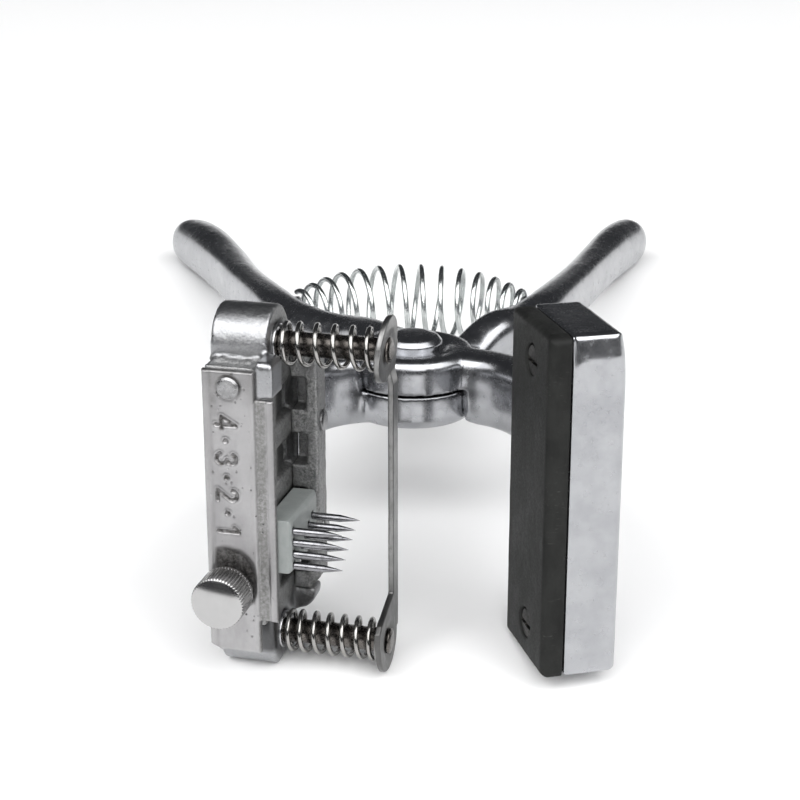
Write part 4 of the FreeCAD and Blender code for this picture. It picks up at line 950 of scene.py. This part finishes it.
screw_heads = []
for zz in (21.5, -26.5):
    rows = [(0.0, 0.05)] + [(r, 0.05 + 0.02 * r * r) for r in np.linspace(0.15, 2.15, 14)] + [(2.50, 0.20), (2.62, 0.34), (2.64, 1.05), (1.28, 1.08), (1.28, 7.35), (0, 7.35)]
    screw_heads.append(moved(lathe(rows, 120, wobble=slotted), aim((1, 0, 0), (4.86, -59.2, zz))))
place("pad_screw_heads", join_meshes("ps", screw_heads), ANV, "anvil_half", "dark_steel", BLACKED, "pad_screws", sharp=30)


# ---------------------------------------------------------------- springs
def start_angle(node, matrix, yc, zc):
    me = node_mesh(node, matrix)
    co = get_co(me)
    low = co[co[:, 0] < co[:, 0].min() + 0.25].mean(0)
    bpy.data.meshes.remove(me)
    return math.atan2(low[2] - zc, low[1] - yc)


for tag, zz, turns in (("upper", 23.7, 6.2), ("lower", -29.1, 7.25)):
    a0 = start_angle(tag + "_release_spring", DIG, -57.0, zz)
    n = int(turns * 40)
    u = np.linspace(0, 1, n + 1)
    th = 2 * math.pi * turns * u
    pace = 0.42 + 0.58 * ramp(u * turns, 0.25, 1.5) * (1 - ramp(u * turns, turns - 1.3, turns - 0.2))
    xx = np.concatenate([[0], np.cumsum((pace[1:] + pace[:-1]) / 2)])
    xx = -8.7 + 0.45 + (17.0 - 0.9) * xx / xx[-1]
    line = np.stack([xx, -57.0 + 3.4 * np.cos(th + a0), zz + 3.4 * np.sin(th + a0)], 1)
    ob = place(tag + "_ear_spring", join_meshes("sp", [tube(line, 0.425, 18)]), DIG, "digit_half", "spring_steel", COIL, tag + "_release_spring", sharp=180)
    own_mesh(ob)

line = []
for u in np.linspace(0.012, 1, 13 * 48 + 1):
    xx = 25.3 * (2 * u - 1 - 0.27 / math.pi * math.sin(2 * math.pi * u))
    fat = math.sin(math.pi * min(max((u - 0.04) / 0.92, 0), 1)) ** 0.8
    rad = 4.4 + 3.9 * fat
    back, lean, a = 7.0 * (1 - (xx / 25.3) ** 2), math.atan2(-14.0 * xx / 25.3, 25.3), 2 * math.pi * 13.5 * u
    line.append((xx - math.sin(lean) * rad * math.cos(a), 50 + back + math.cos(lean) * rad * math.cos(a), rad * math.sin(a)))
spring_mesh = tidy(join_meshes("return_coil", [tube(line, 0.6, 20)]), 180)
spring_mesh.transform(MID)
spring_mesh.materials.append(ZINC)
spring_mesh.name = "return_coil"
coil = new_object("return_coil", spring_mesh)
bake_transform(coil)
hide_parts("return_spring")


# ---------------------------------------------------------------- stage, light and camera
floor_mesh = mesh_from("floor", [(-4, -4, 0), (4, -4, 0), (4, 4, 0), (-4, 4, 0)], [(0, 1, 2, 3)])
floor = new_object("studio_floor", floor_mesh)
white = bpy.data.materials.new("paper")
white.use_nodes = True
wb = white.node_tree.nodes["Principled BSDF"]
wb.inputs["Base Color"].default_value = (0.96, 0.96, 0.96, 1)
wb.inputs["Roughness"].default_value = 0.9
wb.inputs["Specular IOR Level"].default_value = 0.1
floor_mesh.materials.append(white)
floor.location.z = -0.0002

world = bpy.data.worlds.new("studio")
bpy.context.scene.world = world
world.use_nodes = True
world.node_tree.nodes["Background"].inputs[0].default_value = (0.048, 0.050, 0.054, 1)
world.node_tree.nodes["Background"].inputs[1].default_value = 1.0


def softbox(name, azimuth, elevation, distance, width, height, power, look=(0, 0, 0.03)):
    """azimuth 0 is the camera's side (-Y), 90 is the object's right (+X)."""
    data = bpy.data.lights.new(name, "AREA")
    data.shape = "RECTANGLE"
    data.size, data.size_y, data.energy = width, height, power
    ob = bpy.data.objects.new(name, data)
    bpy.context.scene.collection.objects.link(ob)
    az, el = math.radians(azimuth), math.radians(elevation)
    target = Vector(look)
    ob.location = target + distance * Vector((math.sin(az) * math.cos(el), -math.cos(az) * math.cos(el), math.sin(el)))
    ob.rotation_euler = (target - ob.location).to_track_quat("-Z", "Y").to_euler()
    return ob


softbox("key", 0, 55, 1.5, 2.3, 1.7, 36)
softbox("left", -66, 44, 1.6, 1.3, 1.1, 9.5)
softbox("right", 66, 44, 1.6, 1.3, 1.1, 10.5)

cam_data = bpy.data.cameras.new("camera")
cam_data.lens, cam_data.sensor_width, cam_data.sensor_fit = 79.69, 36.0, "HORIZONTAL"
cam_data.clip_start, cam_data.clip_end = 0.01, 50
cam = bpy.data.objects.new("camera", cam_data)
bpy.context.scene.collection.objects.link(cam)
cam.location = (-0.0025, -0.34438, 0.18376)
cam.rotation_euler = (math.radians(62.84), 0, 0)
bpy.context.scene.camera = cam
bpy.context.scene.view_settings.view_transform = "Standard"
